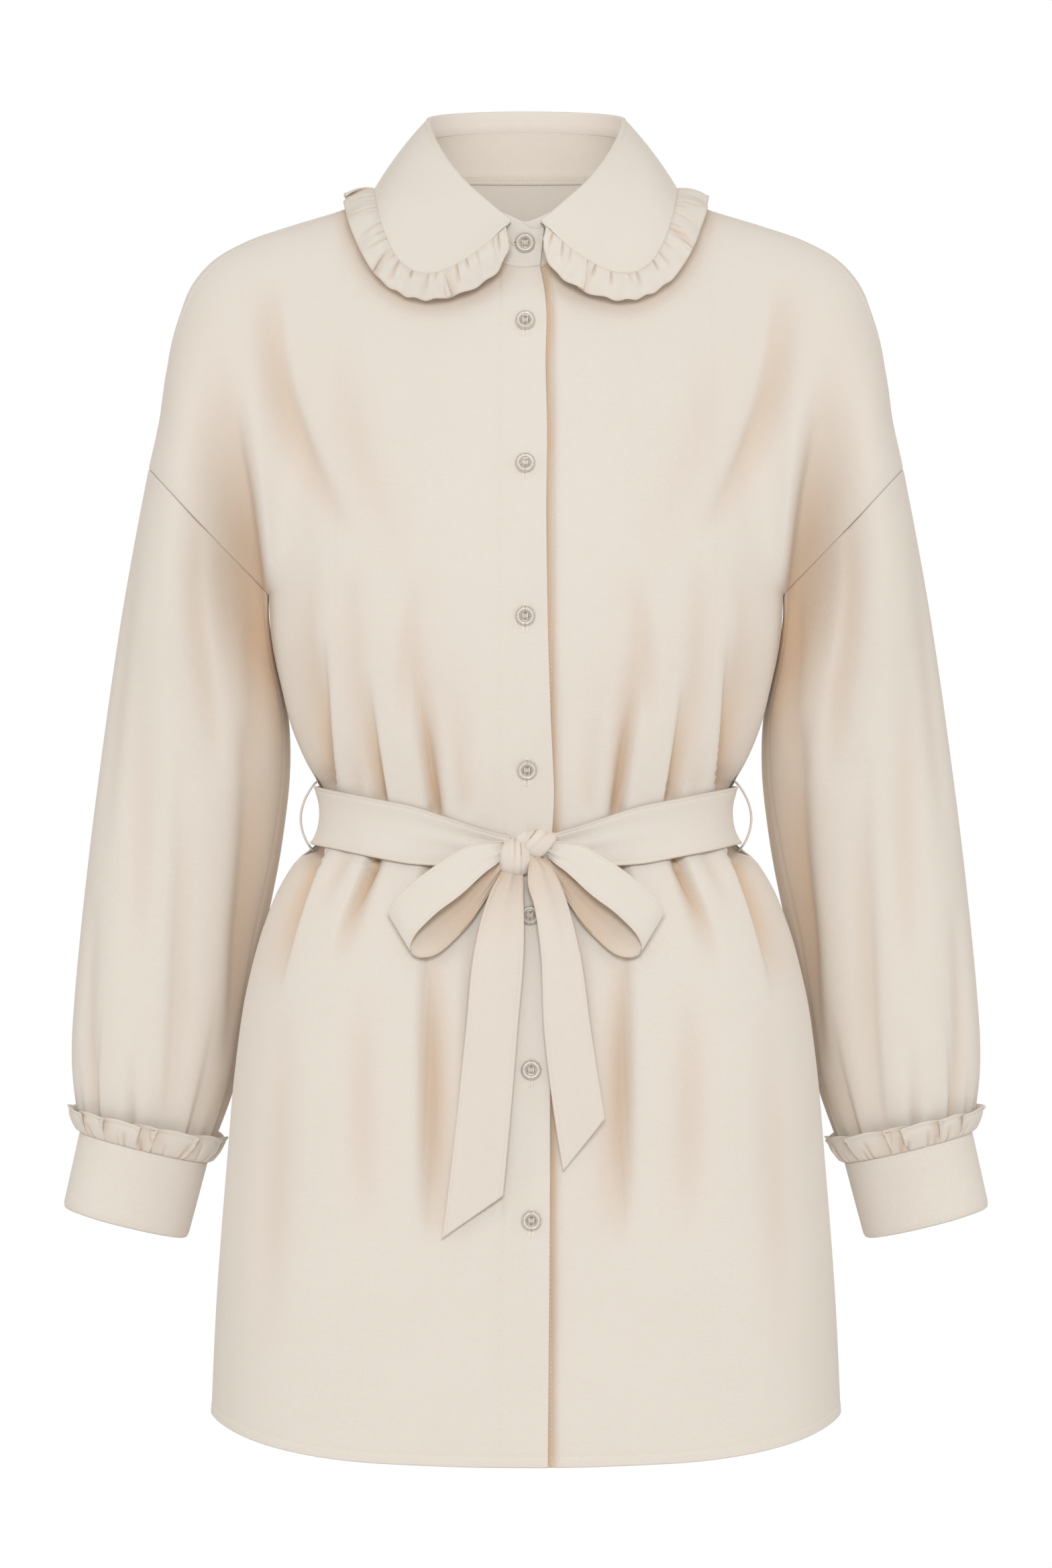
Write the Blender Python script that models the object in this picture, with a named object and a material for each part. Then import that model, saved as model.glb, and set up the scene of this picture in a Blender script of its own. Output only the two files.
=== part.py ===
"""A belted tunic top with a frilled collar, filled out as it is worn, for Blender 4.5.

The garment is hollow cloth: two fronts, a back, two dropped sleeves, cuffs, a collar on a stand, frills, a
front fastening with eight buttons, and a tie belt in a bow. The wearer faces -Y, +X is the wearer's left and
+Z is up. The origin is midway between the shoulders, at the height of the highest points of the shoulder seams.

Sizes and tables are in millimetres. A shape is a grid of points worked out from them, which make_cloth turns
into an outer surface with a wall behind it.
"""
import math

import bpy
import numpy as np

MM = 0.001  # metres in a millimetre

# ---------------------------------------------------------------- cloth and seams
WALL = 1.6  # cloth with its facing or seam allowance
THIN_WALL = 1.2  # a single gathered layer, as in a frill
SEAM_GAP = 0.3  # between pieces that are sewn together
LAY_GAP = 0.4  # between a piece and the cloth it lies on

# ---------------------------------------------------------------- the body of the tunic
UNDERARM_Z = -245.0
HEM_FRONT_Z = -748.5
HEM_SIDE_RISE = 19.0  # the hem is this much higher at the side seams
SIDE_Y = 3.0  # depth of the side seams
SECTION_POWER = 0.86  # below 1 makes a section fuller than an ellipse

# Sections of the body from the underarm to the hem: half width, and depth in front of and behind the sides.
BODY_COLUMNS = ("z", "half_width", "front", "back")
BODY = (
    (-245, 153.5, 116, 103),
    (-270, 152.0, 116, 100),
    (-300, 146.0, 112, 96),
    (-325, 139.5, 107, 92),
    (-343, 132.0, 102, 89),
    (-360, 123.0, 97, 86),
    (-376, 120.0, 94, 85),
    (-391, 124.5, 96, 87),
    (-403, 137.0, 100, 92),
    (-416, 145.5, 104, 97),
    (-440, 156.0, 111, 106),
    (-478, 166.5, 118, 113),
    (-522, 173.5, 123, 118),
    (-580, 179.0, 127, 122),
    (-655, 185.0, 131, 126),
    (-750, 189.5, 134, 129),
)
WAIST_Z = -376.0
WAIST_DIP = 24.0  # the tied waist drops this much at the centre front
WAIST_DIP_BACK = -4.0
WAIST_REACH = 130.0  # how far above and below the waist the drop is felt

# Crest of the shoulder and upper arm, from the neck to where the sleeve is set in.
SHOULDER_COLUMNS = ("x", "z")
SHOULDER = (
    (62, 3),
    (85, -7),
    (110, -16),
    (142, -25.5),
    (169, -35),
    (187.5, -46),
    (200.5, -62),
    (208.5, -83),
    (215, -113),
    (219, -142),
    (225, -170),
)
NECK_SHARE = 0.413  # share of a quarter of the body that ends on the neckline
SEAM_LEAD = 0.07  # how far the shoulder seam runs in front of the crest near the neck

# Neckline, stand and roll of the collar are rings round the neck, given at front, side and back.
RING_COLUMNS = ("half_width", "front", "back", "front_z", "side_z", "back_z")
NECKLINE = (62, 77, 60, -57, 3, 9)
STAND_TOP = (55.0, 78, 58, -31, 28, 38)
ROLL = (58.1, 79.9, 60.4, -23.5, 40, 51.5)

# ---------------------------------------------------------------- sleeves
# Each ring of the sleeve: its outer and inner ends seen from the front, its depth and half its thickness.
SLEEVE_COLUMNS = ("outer_x", "outer_z", "inner_x", "inner_z", "y", "half_depth")
SLEEVE = (
    (225.0, -170, 153.5, -245, 3, 61),
    (234.5, -216, 155.5, -262, 11, 59),
    (241.0, -249, 152.5, -284, 19, 57),
    (248.0, -290, 146.5, -312, 27, 55),
    (255.0, -337, 143.0, -348, 33, 54),
    (261.5, -385, 147.0, -393, 37, 54),
    (268.5, -445, 158.5, -453, 40, 53),
    (272.5, -488, 166.0, -498, 41, 52),
    (274.0, -514, 172.5, -528, 40, 50),
    (273.5, -536, 179.5, -552, 39, 46),
    (271.5, -552, 185.5, -569, 38, 40),
    (269.0, -567, 192.0, -586, 37, 34),
)
# Folds in the armpit: where the crease lies, and how much of the depth beside it is drawn in.
ARMPIT_COLUMNS = ("z", "x", "pull", "body_side", "arm_side")
ARMPIT = (
    (-85, 186, 0.00, 34, 30),
    (-120, 178, 0.10, 26, 30),
    (-160, 169, 0.30, 17, 32),
    (-200, 162, 0.58, 10, 32),
    (-232, 158, 0.80, 6, 32),
    (-260, 155, 0.78, 5, 30),
    (-300, 150, 0.45, 5, 26),
    (-345, 146, 0.00, 5, 22),
)

# ---------------------------------------------------------------- folds
# Folds that the belt draws up: where each meets the belt (degrees from the centre front), how far it runs
# above (+) or below (-) the waist, depth, half width at the belt and at its far end, and its lean in degrees.
FOLD_COLUMNS = ("angle", "run", "depth", "near_width", "far_width", "lean")
FOLDS = (
    (27, 90, 6.5, 4.0, 8.0, -1),
    (44.5, 95, 7.5, 4.0, 8.0, -3),
    (71, 80, 9.0, 4.5, 7.0, -13),
    (112, 105, 7.5, 5.0, 9.0, 4),
    (140, 120, 7.0, 5.0, 10.0, 3),
    (166, 95, 6.0, 5.0, 9.0, 2),
    (24, -110, 5.5, 4.5, 9.0, 2),
    (44, -100, 7.5, 4.5, 9.0, 2),
    (70, -85, 8.5, 4.5, 8.0, 0),
    (108, -120, 7.5, 5.0, 9.0, -5),
    (138, -105, 7.0, 5.0, 10.0, -4),
    (164, -120, 6.0, 5.0, 10.0, -2),
)
# Long soft waves of the skirt below the waist: angle, depth, half width, all at the hem.
SKIRT_COLUMNS = ("angle", "depth", "width")
SKIRT = ((20, 4.5, 9), (55, -2.0, 14), (100, 5.0, 13), (132, -2.5, 12), (160, 5.0, 12))


def rows_of(table, columns, names):
    """The named columns of a table, each as an array."""
    return [np.array([row[columns.index(n)] for row in table], float) for n in names]


def smooth_through(at, knots, values):
    """A smooth curve through values at rising knots, whose slope at a knot is the mean of its two sides."""
    slopes = np.gradient(values, knots)
    span = np.clip(np.searchsorted(knots, at) - 1, 0, len(knots) - 2)
    wide = knots[span + 1] - knots[span]
    t = np.clip((at - knots[span]) / wide, 0, 1)
    low, high = values[span], values[span + 1]
    return (
        low * (1 + 2 * t) * (1 - t) ** 2
        + high * t**2 * (3 - 2 * t)
        + wide * t * (1 - t) * (slopes[span] * (1 - t) - slopes[span + 1] * t)
    )


def column_at(table, columns, name, key, at):
    """A column of a table at any value of its key column."""
    keys, values = rows_of(table, columns, (key, name))
    order = np.argsort(keys)
    return smooth_through(np.asarray(at, float), keys[order], values[order])


def ease(x):
    """A smooth step from 0 to 1 as x goes from 0 to 1."""
    x = np.clip(x, 0, 1)
    return x * x * (3 - 2 * x)


def hem_z(angle):
    """Height of the hem round the body: curved up to the side seams, as a shirt's tails are."""
    return HEM_FRONT_Z + HEM_SIDE_RISE * np.abs(np.sin(np.radians(angle))) ** 4


def waist_dip(angle):
    """How far the tied waist lies below its height at the sides."""
    share = 1 - np.abs(np.sin(np.radians(angle)))
    return np.where(np.abs(angle) <= 90, WAIST_DIP, WAIST_DIP_BACK) * share


def belt_folds(angle, z):
    """Depth of the folds that run up and down from the belt."""
    waist = WAIST_Z - waist_dip(angle)
    depth = np.zeros(np.broadcast(angle, z).shape)
    for fold_angle, run, deep, near, far, lean in FOLDS:
        t = np.clip((z - waist) / run, 0, 1)
        centre = fold_angle + lean * t
        wide = near + (far - near) * t
        across = np.exp(-(((np.abs(angle) - centre) / wide) ** 2))
        depth += deep * ease((z - waist) / run * 9) * (1 - ease(t)) * across
    return depth


def skirt_waves(angle, z):
    """Depth of the long soft waves of the skirt, which fade out towards the waist."""
    share = ease((WAIST_Z - 20 - z) / 260)
    return share * sum(d * np.exp(-(((np.abs(angle) - a) / w) ** 2)) for a, d, w in SKIRT)


def lower_body(angle, z, folds=1.0):
    """Points of the body below the underarm, at an angle from the centre front and a height."""
    near = np.exp(-(((z - WAIST_Z) / WAIST_REACH) ** 2))
    section = np.minimum(z + waist_dip(angle) * near, UNDERARM_Z)
    half, front, back = (
        column_at(BODY, BODY_COLUMNS, name, "z", section) for name in ("half_width", "front", "back")
    )
    turn = np.radians(angle)
    drawn_in = folds * (belt_folds(angle, z) + skirt_waves(angle, z))
    depth = np.where(np.abs(angle) <= 90, -front, back)
    x = (half - drawn_in) * np.sin(turn)
    y = SIDE_Y + depth * (1 - drawn_in / np.abs(depth)) * np.abs(np.cos(turn)) ** SECTION_POWER
    return np.stack(np.broadcast_arrays(x, y, z), axis=-1)


def ring(sizes, angle):
    """Points of a ring round the neck at an angle from the centre front."""
    half, front, back, front_z, side_z, back_z = sizes
    turn = np.radians(angle)
    power = math.log((back_z - side_z) / (back_z - front_z)) / math.log(0.5)
    in_front = np.cos(turn) > 0
    dip = (front_z - back_z) * ((1 + np.cos(turn)) / 2) ** power
    z = np.where(in_front, back_z + dip, side_z - (back_z - side_z) * np.cos(turn))
    depth = np.where(in_front, front, back)
    return np.stack([half * np.sin(turn), -depth * np.cos(turn), z], axis=-1)


def crest(share):
    """Points on the crest of the shoulder and upper arm, 0 at the neck and 1 at the armhole."""
    xs, zs = rows_of(SHOULDER, SHOULDER_COLUMNS, SHOULDER_COLUMNS)
    length = np.concatenate([[0], np.cumsum(np.hypot(np.diff(xs), np.diff(zs)))])
    at = np.clip(share, 0, 1) * length[-1]
    y = ring(NECKLINE, np.array(90.0))[1] + SIDE_Y * np.clip(share, 0, 1)
    return np.stack([smooth_through(at, length, xs), y, smooth_through(at, length, zs)], axis=-1)


def armpit(points):
    """Draws the cloth in towards the middle of its depth beside the crease of the armpit."""
    x, y, z = np.abs(points[..., 0]), points[..., 1], points[..., 2]
    line, pull, body_side, arm_side = (
        column_at(ARMPIT, ARMPIT_COLUMNS, name, "z", z) for name in ("x", "pull", "body_side", "arm_side")
    )
    off = x - line
    across = np.exp(-((off / np.where(off < 0, body_side, arm_side)) ** 2))
    inside = (z > ARMPIT[-1][0]) & (z < ARMPIT[0][0])
    moved = points.copy()
    moved[..., 1] = SIDE_Y + (y - SIDE_Y) * (1 - np.where(inside, pull * across, 0))
    return moved


def upper_body(angle, rise):
    """Points of the body above the underarm. Each column of cloth climbs from the section at the underarm
    and rolls over to the neckline or the crest of the shoulder; the last ones swell round the arm instead."""
    share = np.where(np.abs(angle) <= 90, np.abs(angle), 180 - np.abs(angle)) / 90
    side = np.where(angle < 0, -1.0, 1.0)
    front = np.where(np.abs(angle) <= 90, 1.0, -1.0)
    foot = lower_body(angle, np.full_like(angle, UNDERARM_Z))
    on_neck = share < NECK_SHARE
    neck_angle = np.where(on_neck, share / NECK_SHARE * 90, 90)
    top = np.where(
        on_neck[..., None],
        ring(NECKLINE, np.where(front > 0, neck_angle, 180 - neck_angle)),
        crest((share - NECK_SHARE) / (1 - NECK_SHARE)),
    )
    quarter = np.radians(90 * rise)
    rolled = ease((share - 0.1) / (NECK_SHARE - 0.05))
    up = (1 - rolled) * rise + rolled * np.sin(quarter)
    back_to = (1 - rolled) * (1 - rise**1.5) + rolled * np.cos(quarter) ** SECTION_POWER
    arm = ease((share - 0.62) / 0.38)
    half_turn = (1 - np.cos(np.pi * rise)) / 2
    up = (1 - arm) * up + arm * half_turn
    out = (1 - arm) * (1 - np.cos(quarter)) + arm * half_turn
    x = np.abs(foot[..., 0]) * (1 - out) + top[..., 0] * out
    z = foot[..., 2] * (1 - up) + top[..., 2] * up
    y = top[..., 1] + (foot[..., 1] - top[..., 1]) * back_to
    y = y - front * arm * SLEEVE[0][5] * np.sin(np.pi * rise)
    return np.stack([side * x, y, z], axis=-1)


def body(angle, level):
    """Points of the body at an angle from the centre front and a level: 0 at the hem, 1 at the underarm,
    2 at the neckline or crest. A level above 2 goes on over the crest to the other side."""
    angle, level = np.broadcast_arrays(np.asarray(angle, float), np.asarray(level, float))
    angle = np.where(angle > 180, angle - 360, angle)
    share = np.where(np.abs(angle) <= 90, np.abs(angle), 180 - np.abs(angle)) / 90
    over = (level > 2) & (share >= NECK_SHARE)
    angle = np.where(over, np.sign(angle) * (180 - np.abs(angle)), angle)
    level = np.where(over, 4 - level, np.clip(level, 0, 2))
    foot = hem_z(angle)
    low = lower_body(angle, foot + (UNDERARM_Z - foot) * np.clip(level, 0, 1))
    high = upper_body(angle, np.clip(level - 1, 0, 1))
    return armpit(np.where((level > 1)[..., None], high, low))


def unit(vectors):
    return vectors / np.maximum(np.linalg.norm(vectors, axis=-1, keepdims=True), 1e-9)


def sampled(surface, u, v, du, dv, outward):
    """Points of a surface on a grid of u and v, and its unit normals there. Outward is 1 where the normals
    are the cross product of the steps along u and v, else -1."""
    u, v = np.meshgrid(u, v, indexing="ij")
    along_u = surface(u + du, v) - surface(u - du, v)
    along_v = surface(u, v + dv) - surface(u, v - dv)
    return surface(u, v), outward * unit(np.cross(along_u, along_v))


def grid_faces(across, along, closed):
    """Quads of a grid, whose first direction may be closed on itself."""
    index = np.arange(across * along).reshape(across, along)
    if closed:
        index = np.vstack([index, index[:1]])
    quads = np.stack([index[:-1, :-1], index[1:, :-1], index[1:, 1:], index[:-1, 1:]], axis=-1)
    return quads.reshape(-1, 4), index


def make_object(name, points, faces):
    """A mesh object from points in millimetres."""
    mesh = bpy.data.meshes.new(name)
    mesh.from_pydata((np.asarray(points) * MM).tolist(), [], [list(map(int, f)) for f in faces])
    mesh.update()
    made = bpy.data.objects.new(name, mesh)
    bpy.context.scene.collection.objects.link(made)
    return made


def make_cloth(name, points, normals, wall, closed=False):
    """A sheet with a wall: the outer surface is the points, and the wall lies behind it along the normals."""
    across, along = points.shape[:2]
    quads, index = grid_faces(across, along, closed)
    flat, up = points.reshape(-1, 3), normals.reshape(-1, 3)
    corners = flat[quads]
    facing = np.cross(corners[:, 2] - corners[:, 0], corners[:, 3] - corners[:, 1])
    if (facing * up[quads[:, 0]]).sum() < 0:
        quads = quads[:, ::-1]
    behind = flat - up * np.reshape(np.broadcast_to(wall, (across, along)), (-1, 1))
    count = len(flat)
    rims = [index[:, 0], index[::-1, -1]] if closed else [
        np.concatenate([index[:, 0], index[-1, 1:], index[-2::-1, -1], index[0, -2::-1]])
    ]
    edges = {(a, b) for q in quads.tolist() for a, b in zip(q, q[1:] + q[:1])}
    faces = quads.tolist() + (quads[:, ::-1] + count).tolist()
    for rim in rims:
        for a, b in zip(rim[:-1].tolist(), rim[1:].tolist()):
            if (a, b) in edges:
                a, b = b, a
            faces.append([a, b, b + count, a + count])
    return make_object(name, np.concatenate([flat, behind]), faces)


# ---------------------------------------------------------------- body panels
OVERLAP_ANGLE = 4.4  # of a front's edge column
EDGE_REACH = 14.0  # degrees, up to where the columns follow the edge
OVERLAP_EASE = 9.0  # over which the under front comes out again beyond the other's edge
# How far a front's edge goes past the centre, at heights down the fastening.
EDGE_COLUMNS = ("z", "x")
EDGE = ((-245, 11.8), (-300, 12.8), (-350, 14.3), (-500, 13.8), (-650, 12.9), (-750, 12.0))
SIDE_GAP = SEAM_GAP / 2 / 1.8  # degrees that a panel stops short of the side seam
NECK_ANGLE = 90 * NECK_SHARE
# Heights of the rows of a panel below the underarm, and shares of the way from there to its top.
LOWER_ROWS = (-748.5, -690, -625, -565, -515, -475, -445, -420, -403, -391, -376, -360, -340, -315, -280, -245)
UPPER_ROWS = (0.12, 0.26, 0.4, 0.54, 0.68, 0.81, 0.92, 1.0)


def shoulder_seam(angle):
    """The level of the shoulder seam in front: it runs just in front of the crest of the shoulder."""
    share = np.abs(angle) / 90
    lead = SEAM_LEAD * ease((share - NECK_SHARE) / 0.12) * (1 - 0.75 * ease((share - 0.6) / 0.4))
    return 2 - lead


def armhole_axis(side):
    """Direction across the armhole, along its line, and out of the armhole down the sleeve."""
    outer_x, outer_z, inner_x, inner_z = SLEEVE[0][:4]
    along = unit(np.array([side * (outer_x - inner_x), 0.0, outer_z - inner_z]))
    return along, side * np.cross([0.0, 1.0, 0.0], along)


def armhole_turned(points, normals, side):
    """Normals of an armhole edge, turned into the plane of the armhole, where the sleeve's are too."""
    _, down = armhole_axis(side)
    outer_x, outer_z, inner_x, inner_z = SLEEVE[0][:4]
    middle = np.array([side * (outer_x + inner_x) / 2, SIDE_Y, (outer_z + inner_z) / 2])
    turned = unit(np.cross(np.gradient(points, axis=0), down))
    turned *= np.sign((turned * (points - middle)).sum(axis=-1, keepdims=True))
    above = points[:, 2] > UNDERARM_Z + 1.0
    return np.where(above[:, None], turned, normals)


def row_levels(angle, row):
    """Level of a row of a panel, counted from the hem."""
    rows = np.arange(len(LOWER_ROWS) + len(UPPER_ROWS))
    foot = hem_z(angle)
    z = np.interp(row, rows, list(LOWER_ROWS) + [UNDERARM_Z] * len(UPPER_ROWS))
    share = (z - LOWER_ROWS[0]) / (UNDERARM_Z - LOWER_ROWS[0])
    z = z + (foot - LOWER_ROWS[0]) * (1 - share) ** 3
    above = np.interp(row, rows, [0] * len(LOWER_ROWS) + list(UPPER_ROWS))
    return (z - foot) / (UNDERARM_Z - foot), above


def edge_x(z):
    """How far a front's edge lies from the centre at a height."""
    return column_at(EDGE, EDGE_COLUMNS, "x", "z", np.minimum(z, EDGE[0][0]))


def edge_led(angle, z):
    """The angle of a front's column once its edge column is led along the edge: the columns near it go with it."""
    half = column_at(BODY, BODY_COLUMNS, "half_width", "z", np.clip(z, BODY[-1][0], BODY[0][0]))
    led = np.degrees(np.arcsin(edge_x(z) / half)) * angle / OVERLAP_ANGLE
    keep = ease((np.abs(angle) - OVERLAP_ANGLE) / (EDGE_REACH - OVERLAP_ANGLE))
    return led * (1 - keep) + angle * keep


def panel(name, angles, top, tuck=None):
    """A body panel over columns at these angles, each up to its own top level."""
    rows = np.arange(len(LOWER_ROWS) + len(UPPER_ROWS), dtype=float)

    def surface(angle, row):
        below, above = row_levels(angle, row)
        foot = hem_z(angle)
        led = np.where(np.abs(angle) < EDGE_REACH, edge_led(angle, foot + (UNDERARM_Z - foot) * below), angle)
        points = body(led, np.where(above > 0, 1 + above * (top(angle) - 1), below))
        return points + tuck(points) if tuck else points

    points, normals = sampled(surface, angles, rows, 0.02, 1e-3, 1)
    for column in (0, -1):
        if abs(abs(angles[column] - 360 * (angles[column] > 180)) - 90) < 1:
            side = np.sign(points[column, 0, 0])
            normals[column] = armhole_turned(points[column], normals[column], side)
    return make_cloth(name, points, normals, WALL)


def build_body():
    overlap = OVERLAP_ANGLE
    neck = (9.0, 14.0, 19.0, 24.0, 28.5, 33.0, NECK_ANGLE)
    arm = (41.5, 46.5, 52.0, 57.5, 63.0, 68.5, 74.0, 79.5, 84.5, 90 - SIDE_GAP)

    def under(points):
        """The left front passes under the right one, so it lies a wall further in there."""
        past = points[..., 0] - edge_x(points[..., 2]) - 0.5
        depth = (WALL + LAY_GAP) * (1 - ease(past / OVERLAP_EASE))
        return np.stack([0 * depth, depth, 0 * depth], axis=-1)

    panel("front_right", -np.array((-overlap, 0.0, overlap) + neck + arm), shoulder_seam)
    panel("front_left", np.array((-overlap, 0.0, overlap, 6.7) + neck + arm), shoulder_seam, under)

    def over(angle):
        across = 180 - np.abs(angle - 360 * (angle > 180))
        return np.where(across / 90 > NECK_SHARE - 0.001, 4 - shoulder_seam(across) - SEAM_GAP / 160, 2)

    half = 180 - np.array(arm[::-1] + (NECK_ANGLE, 28.0, 19.0, 9.5, 0.0))
    panel("back", np.concatenate([half, (360 - half)[-2::-1]]), over)


# ---------------------------------------------------------------- sleeves and cuffs
CUFF_COLUMNS = ("outer_x", "outer_z", "inner_x", "inner_z", "y", "half_depth")
CUFF = ((269.0, -567, 192.0, -586, 37, 34), (279.0, -612, 204.0, -631, 37, 33))
CUFF_WALL = 2.4  # a cuff is two layers
CUFF_FRILL = 15.0  # width of the frill on a cuff
CUFF_FLARE = 4.5
CUFF_WAVES = 20
GATHERS = 10  # round the foot of a sleeve
GATHER_DEPTH = 2.6
# Soft folds along a sleeve: angle round it from the outside (90 is the front), where along it the fold starts
# and ends as a share of its length, depth, half width in degrees, and how far it turns on the way.
SLEEVE_FOLD_COLUMNS = ("angle", "start", "end", "depth", "width", "turn")
SLEEVE_FOLDS = (
    (62, 0.12, 1.00, 4.0, 15, 20),
    (112, 0.20, 1.00, 4.5, 15, 16),
    (150, 0.15, 0.80, 4.0, 14, -12),
    (205, 0.15, 0.90, 4.0, 15, 14),
    (250, 0.25, 1.00, 4.5, 15, -14),
    (298, 0.15, 1.00, 4.0, 15, -18),
)


def ring_point(sizes, turn, side):
    """A point of a ring given by its two ends seen from the front, its depth and half its thickness."""
    outer_x, outer_z, inner_x, inner_z, y, half_depth = sizes
    reach = np.cos(np.radians(turn))
    x = (outer_x + inner_x) / 2 + (outer_x - inner_x) / 2 * reach
    z = (outer_z + inner_z) / 2 + (outer_z - inner_z) / 2 * reach
    return np.stack([side * x, y - half_depth * np.sin(np.radians(turn)), z], axis=-1)


def sleeve_length():
    """Lengths along the middle of a sleeve from its armhole to each ring."""
    ox, oz, ix, iz, y, _ = rows_of(SLEEVE, SLEEVE_COLUMNS, SLEEVE_COLUMNS)
    steps = np.sqrt(np.diff(ox + ix) ** 2 / 4 + np.diff(oz + iz) ** 2 / 4 + np.diff(y) ** 2)
    return np.concatenate([[0], np.cumsum(steps)])


def sleeve(turn, along, side, folds=1.0):
    """Points of a sleeve: turn is in degrees round it from the outside, and along is in mm from the armhole."""
    length = sleeve_length()
    at = np.clip(along, 0, length[-1])
    sizes = [smooth_through(at, length, v) for v in rows_of(SLEEVE, SLEEVE_COLUMNS, SLEEVE_COLUMNS)]
    share = at / length[-1]
    drawn_in = np.zeros(np.broadcast(turn, along).shape)
    for angle, start, end, depth, width, swing in SLEEVE_FOLDS:
        t = np.clip((share - start) / (end - start), 0, 1)
        off = (turn - angle - swing * t + 180) % 360 - 180
        drawn_in += depth * np.sin(np.pi * t) ** 0.8 * np.exp(-((off / width) ** 2))
    near_cuff = ease((share - 0.76) / 0.22)
    drawn_in += GATHER_DEPTH * near_cuff * (0.5 - 0.5 * np.cos(np.radians(turn) * GATHERS))
    shrink = 1 - folds * drawn_in / sizes[5]
    middle_x, middle_z = (sizes[0] + sizes[2]) / 2, (sizes[1] + sizes[3]) / 2
    sizes[0], sizes[2] = (middle_x + (v - middle_x) * shrink for v in (sizes[0], sizes[2]))
    sizes[1], sizes[3] = (middle_z + (v - middle_z) * shrink for v in (sizes[1], sizes[3]))
    sizes[5] = sizes[5] * shrink
    return armpit(ring_point(sizes, turn, side))


def build_sleeve(name, side):
    length = sleeve_length()[-1]
    turns = np.linspace(0, 360, 31)[:-1]
    along = length * np.array([0, 0.07, 0.15, 0.24, 0.34, 0.44, 0.54, 0.64, 0.73, 0.81, 0.89, 0.95, 1])
    points, normals = sampled(lambda a, t: sleeve(a, t, side), turns, along, 0.5, 0.5, side)
    _, down = armhole_axis(side)
    edge = points[:, 0]
    around = unit(np.roll(edge, -1, axis=0) - np.roll(edge, 1, axis=0))
    normals[:, 0] = unit(np.cross(around, down)) * side
    points[:, 0] += down * SEAM_GAP
    cuff_down = unit(ring_point(CUFF[1], turns, side) - ring_point(CUFF[0], turns, side))
    normals[:, -1] = unit(normals[:, -1] - cuff_down * (normals[:, -1] * cuff_down).sum(-1, keepdims=True))
    make_cloth(name, points, normals, WALL, closed=True)


def cuff(turn, down, side):
    """Points of a cuff, 0 at its seam and 1 at its free edge."""
    sizes = [CUFF[0][i] + (CUFF[1][i] - CUFF[0][i]) * down for i in range(6)]
    return ring_point(sizes, turn, side)


def build_cuff(name, side):
    turns = np.linspace(0, 360, 25)[:-1]
    points, normals = sampled(lambda a, t: cuff(a, t, side), turns, [0.008, 0.93, 1], 0.5, 0.01, side)
    points[:, -1] -= normals[:, -1] * 0.8
    make_cloth(name, points, normals, CUFF_WALL, closed=True)


def cuff_frill(turn, up, side):
    """Points of the frill that stands on a cuff's seam round the foot of the sleeve."""
    length = sleeve_length()[-1]
    here = sleeve(turn, length - 0.6 - CUFF_FRILL * up, side, folds=0.0)
    by_turn = sleeve(turn + 1, length - 0.6 - CUFF_FRILL * up, side, folds=0.0) - here
    by_length = cuff(turn, 0.0, side) - cuff(turn, 1.0, side)
    out = side * unit(np.cross(by_length, by_turn))
    wave = 0.5 + 0.5 * np.sin(np.radians(turn) * CUFF_WAVES + 1.1 * np.sin(np.radians(turn) * 5))
    return here + out * (THIN_WALL + LAY_GAP + up * (0.55 * CUFF_FLARE + 0.6 * CUFF_FLARE * wave))[..., None]


def build_cuff_frill(name, side):
    turns = np.linspace(0, 360, 4 * CUFF_WAVES + 1)[:-1]
    points, normals = sampled(lambda a, t: cuff_frill(a, t, side), turns, [0.0, 1.0], 0.5, 0.02, -side)
    make_cloth(name, points, normals, THIN_WALL, closed=True)


# ---------------------------------------------------------------- collar
COLLAR_WALL = 1.4
ROLL_RADIUS = 1.55
PUFF = 0.08  # how far the fall bulges, as a share of its width
FRILL_WAVES = 42  # round the whole edge of the collar
FRILL_DEPTH = 2.4
# Half of the collar from its front corner to the centre back: the turn round the neck, the edge of the fall,
# and the outer edge of its frill.
COLLAR_COLUMNS = ("turn", "edge_x", "edge_y", "edge_z", "frill_x", "frill_y", "frill_z")
COLLAR = (
    (9, 12.0, -83.0, -33.0, 8.8, -86.5, -44),
    (16, 20.0, -82.0, -41.0, 15.0, -86.5, -59),
    (25, 32.0, -79.0, -50.3, 27.5, -85.0, -69),
    (35, 46.3, -75.0, -57.8, 43.5, -82.5, -75),
    (45, 57.0, -73.0, -60.0, 58.0, -81.0, -77),
    (55, 68.0, -71.0, -57.3, 73.0, -78.5, -73),
    (65, 77.3, -66.5, -47.3, 88.0, -71.0, -61),
    (73, 83.5, -57.0, -33.0, 97.5, -60.0, -45),
    (81, 87.5, -41.0, -18.5, 104.5, -43.0, -27),
    (92, 90.0, -12.0, -5.0, 108.0, -12.0, -12.0),
    (108, 88.0, 14.0, -3.0, 103.0, 20.0, -8),
    (125, 76.0, 38.0, -3.0, 87.0, 49.0, -12),
    (145, 54.0, 57.0, -3.0, 60.0, 69.0, -15),
    (162, 28.0, 67.0, -3.0, 31.0, 78.0, -17),
    (180, 0.0, 70.0, -3.0, 0.0, 81.0, -18),
)


def collar_row(turn):
    """Edge of the fall and outer edge of its frill at a turn round the neck from 0 to 360."""
    half = np.where(turn > 180, 360 - turn, turn)
    side = np.where(turn > 180, -1.0, 1.0)
    values = [column_at(COLLAR, COLLAR_COLUMNS, n, "turn", half) for n in COLLAR_COLUMNS[1:]]
    edge = np.stack([side * values[0], values[1], values[2]], axis=-1)
    frill = np.stack([side * values[3], values[4], values[5]], axis=-1)
    return edge, frill


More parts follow.
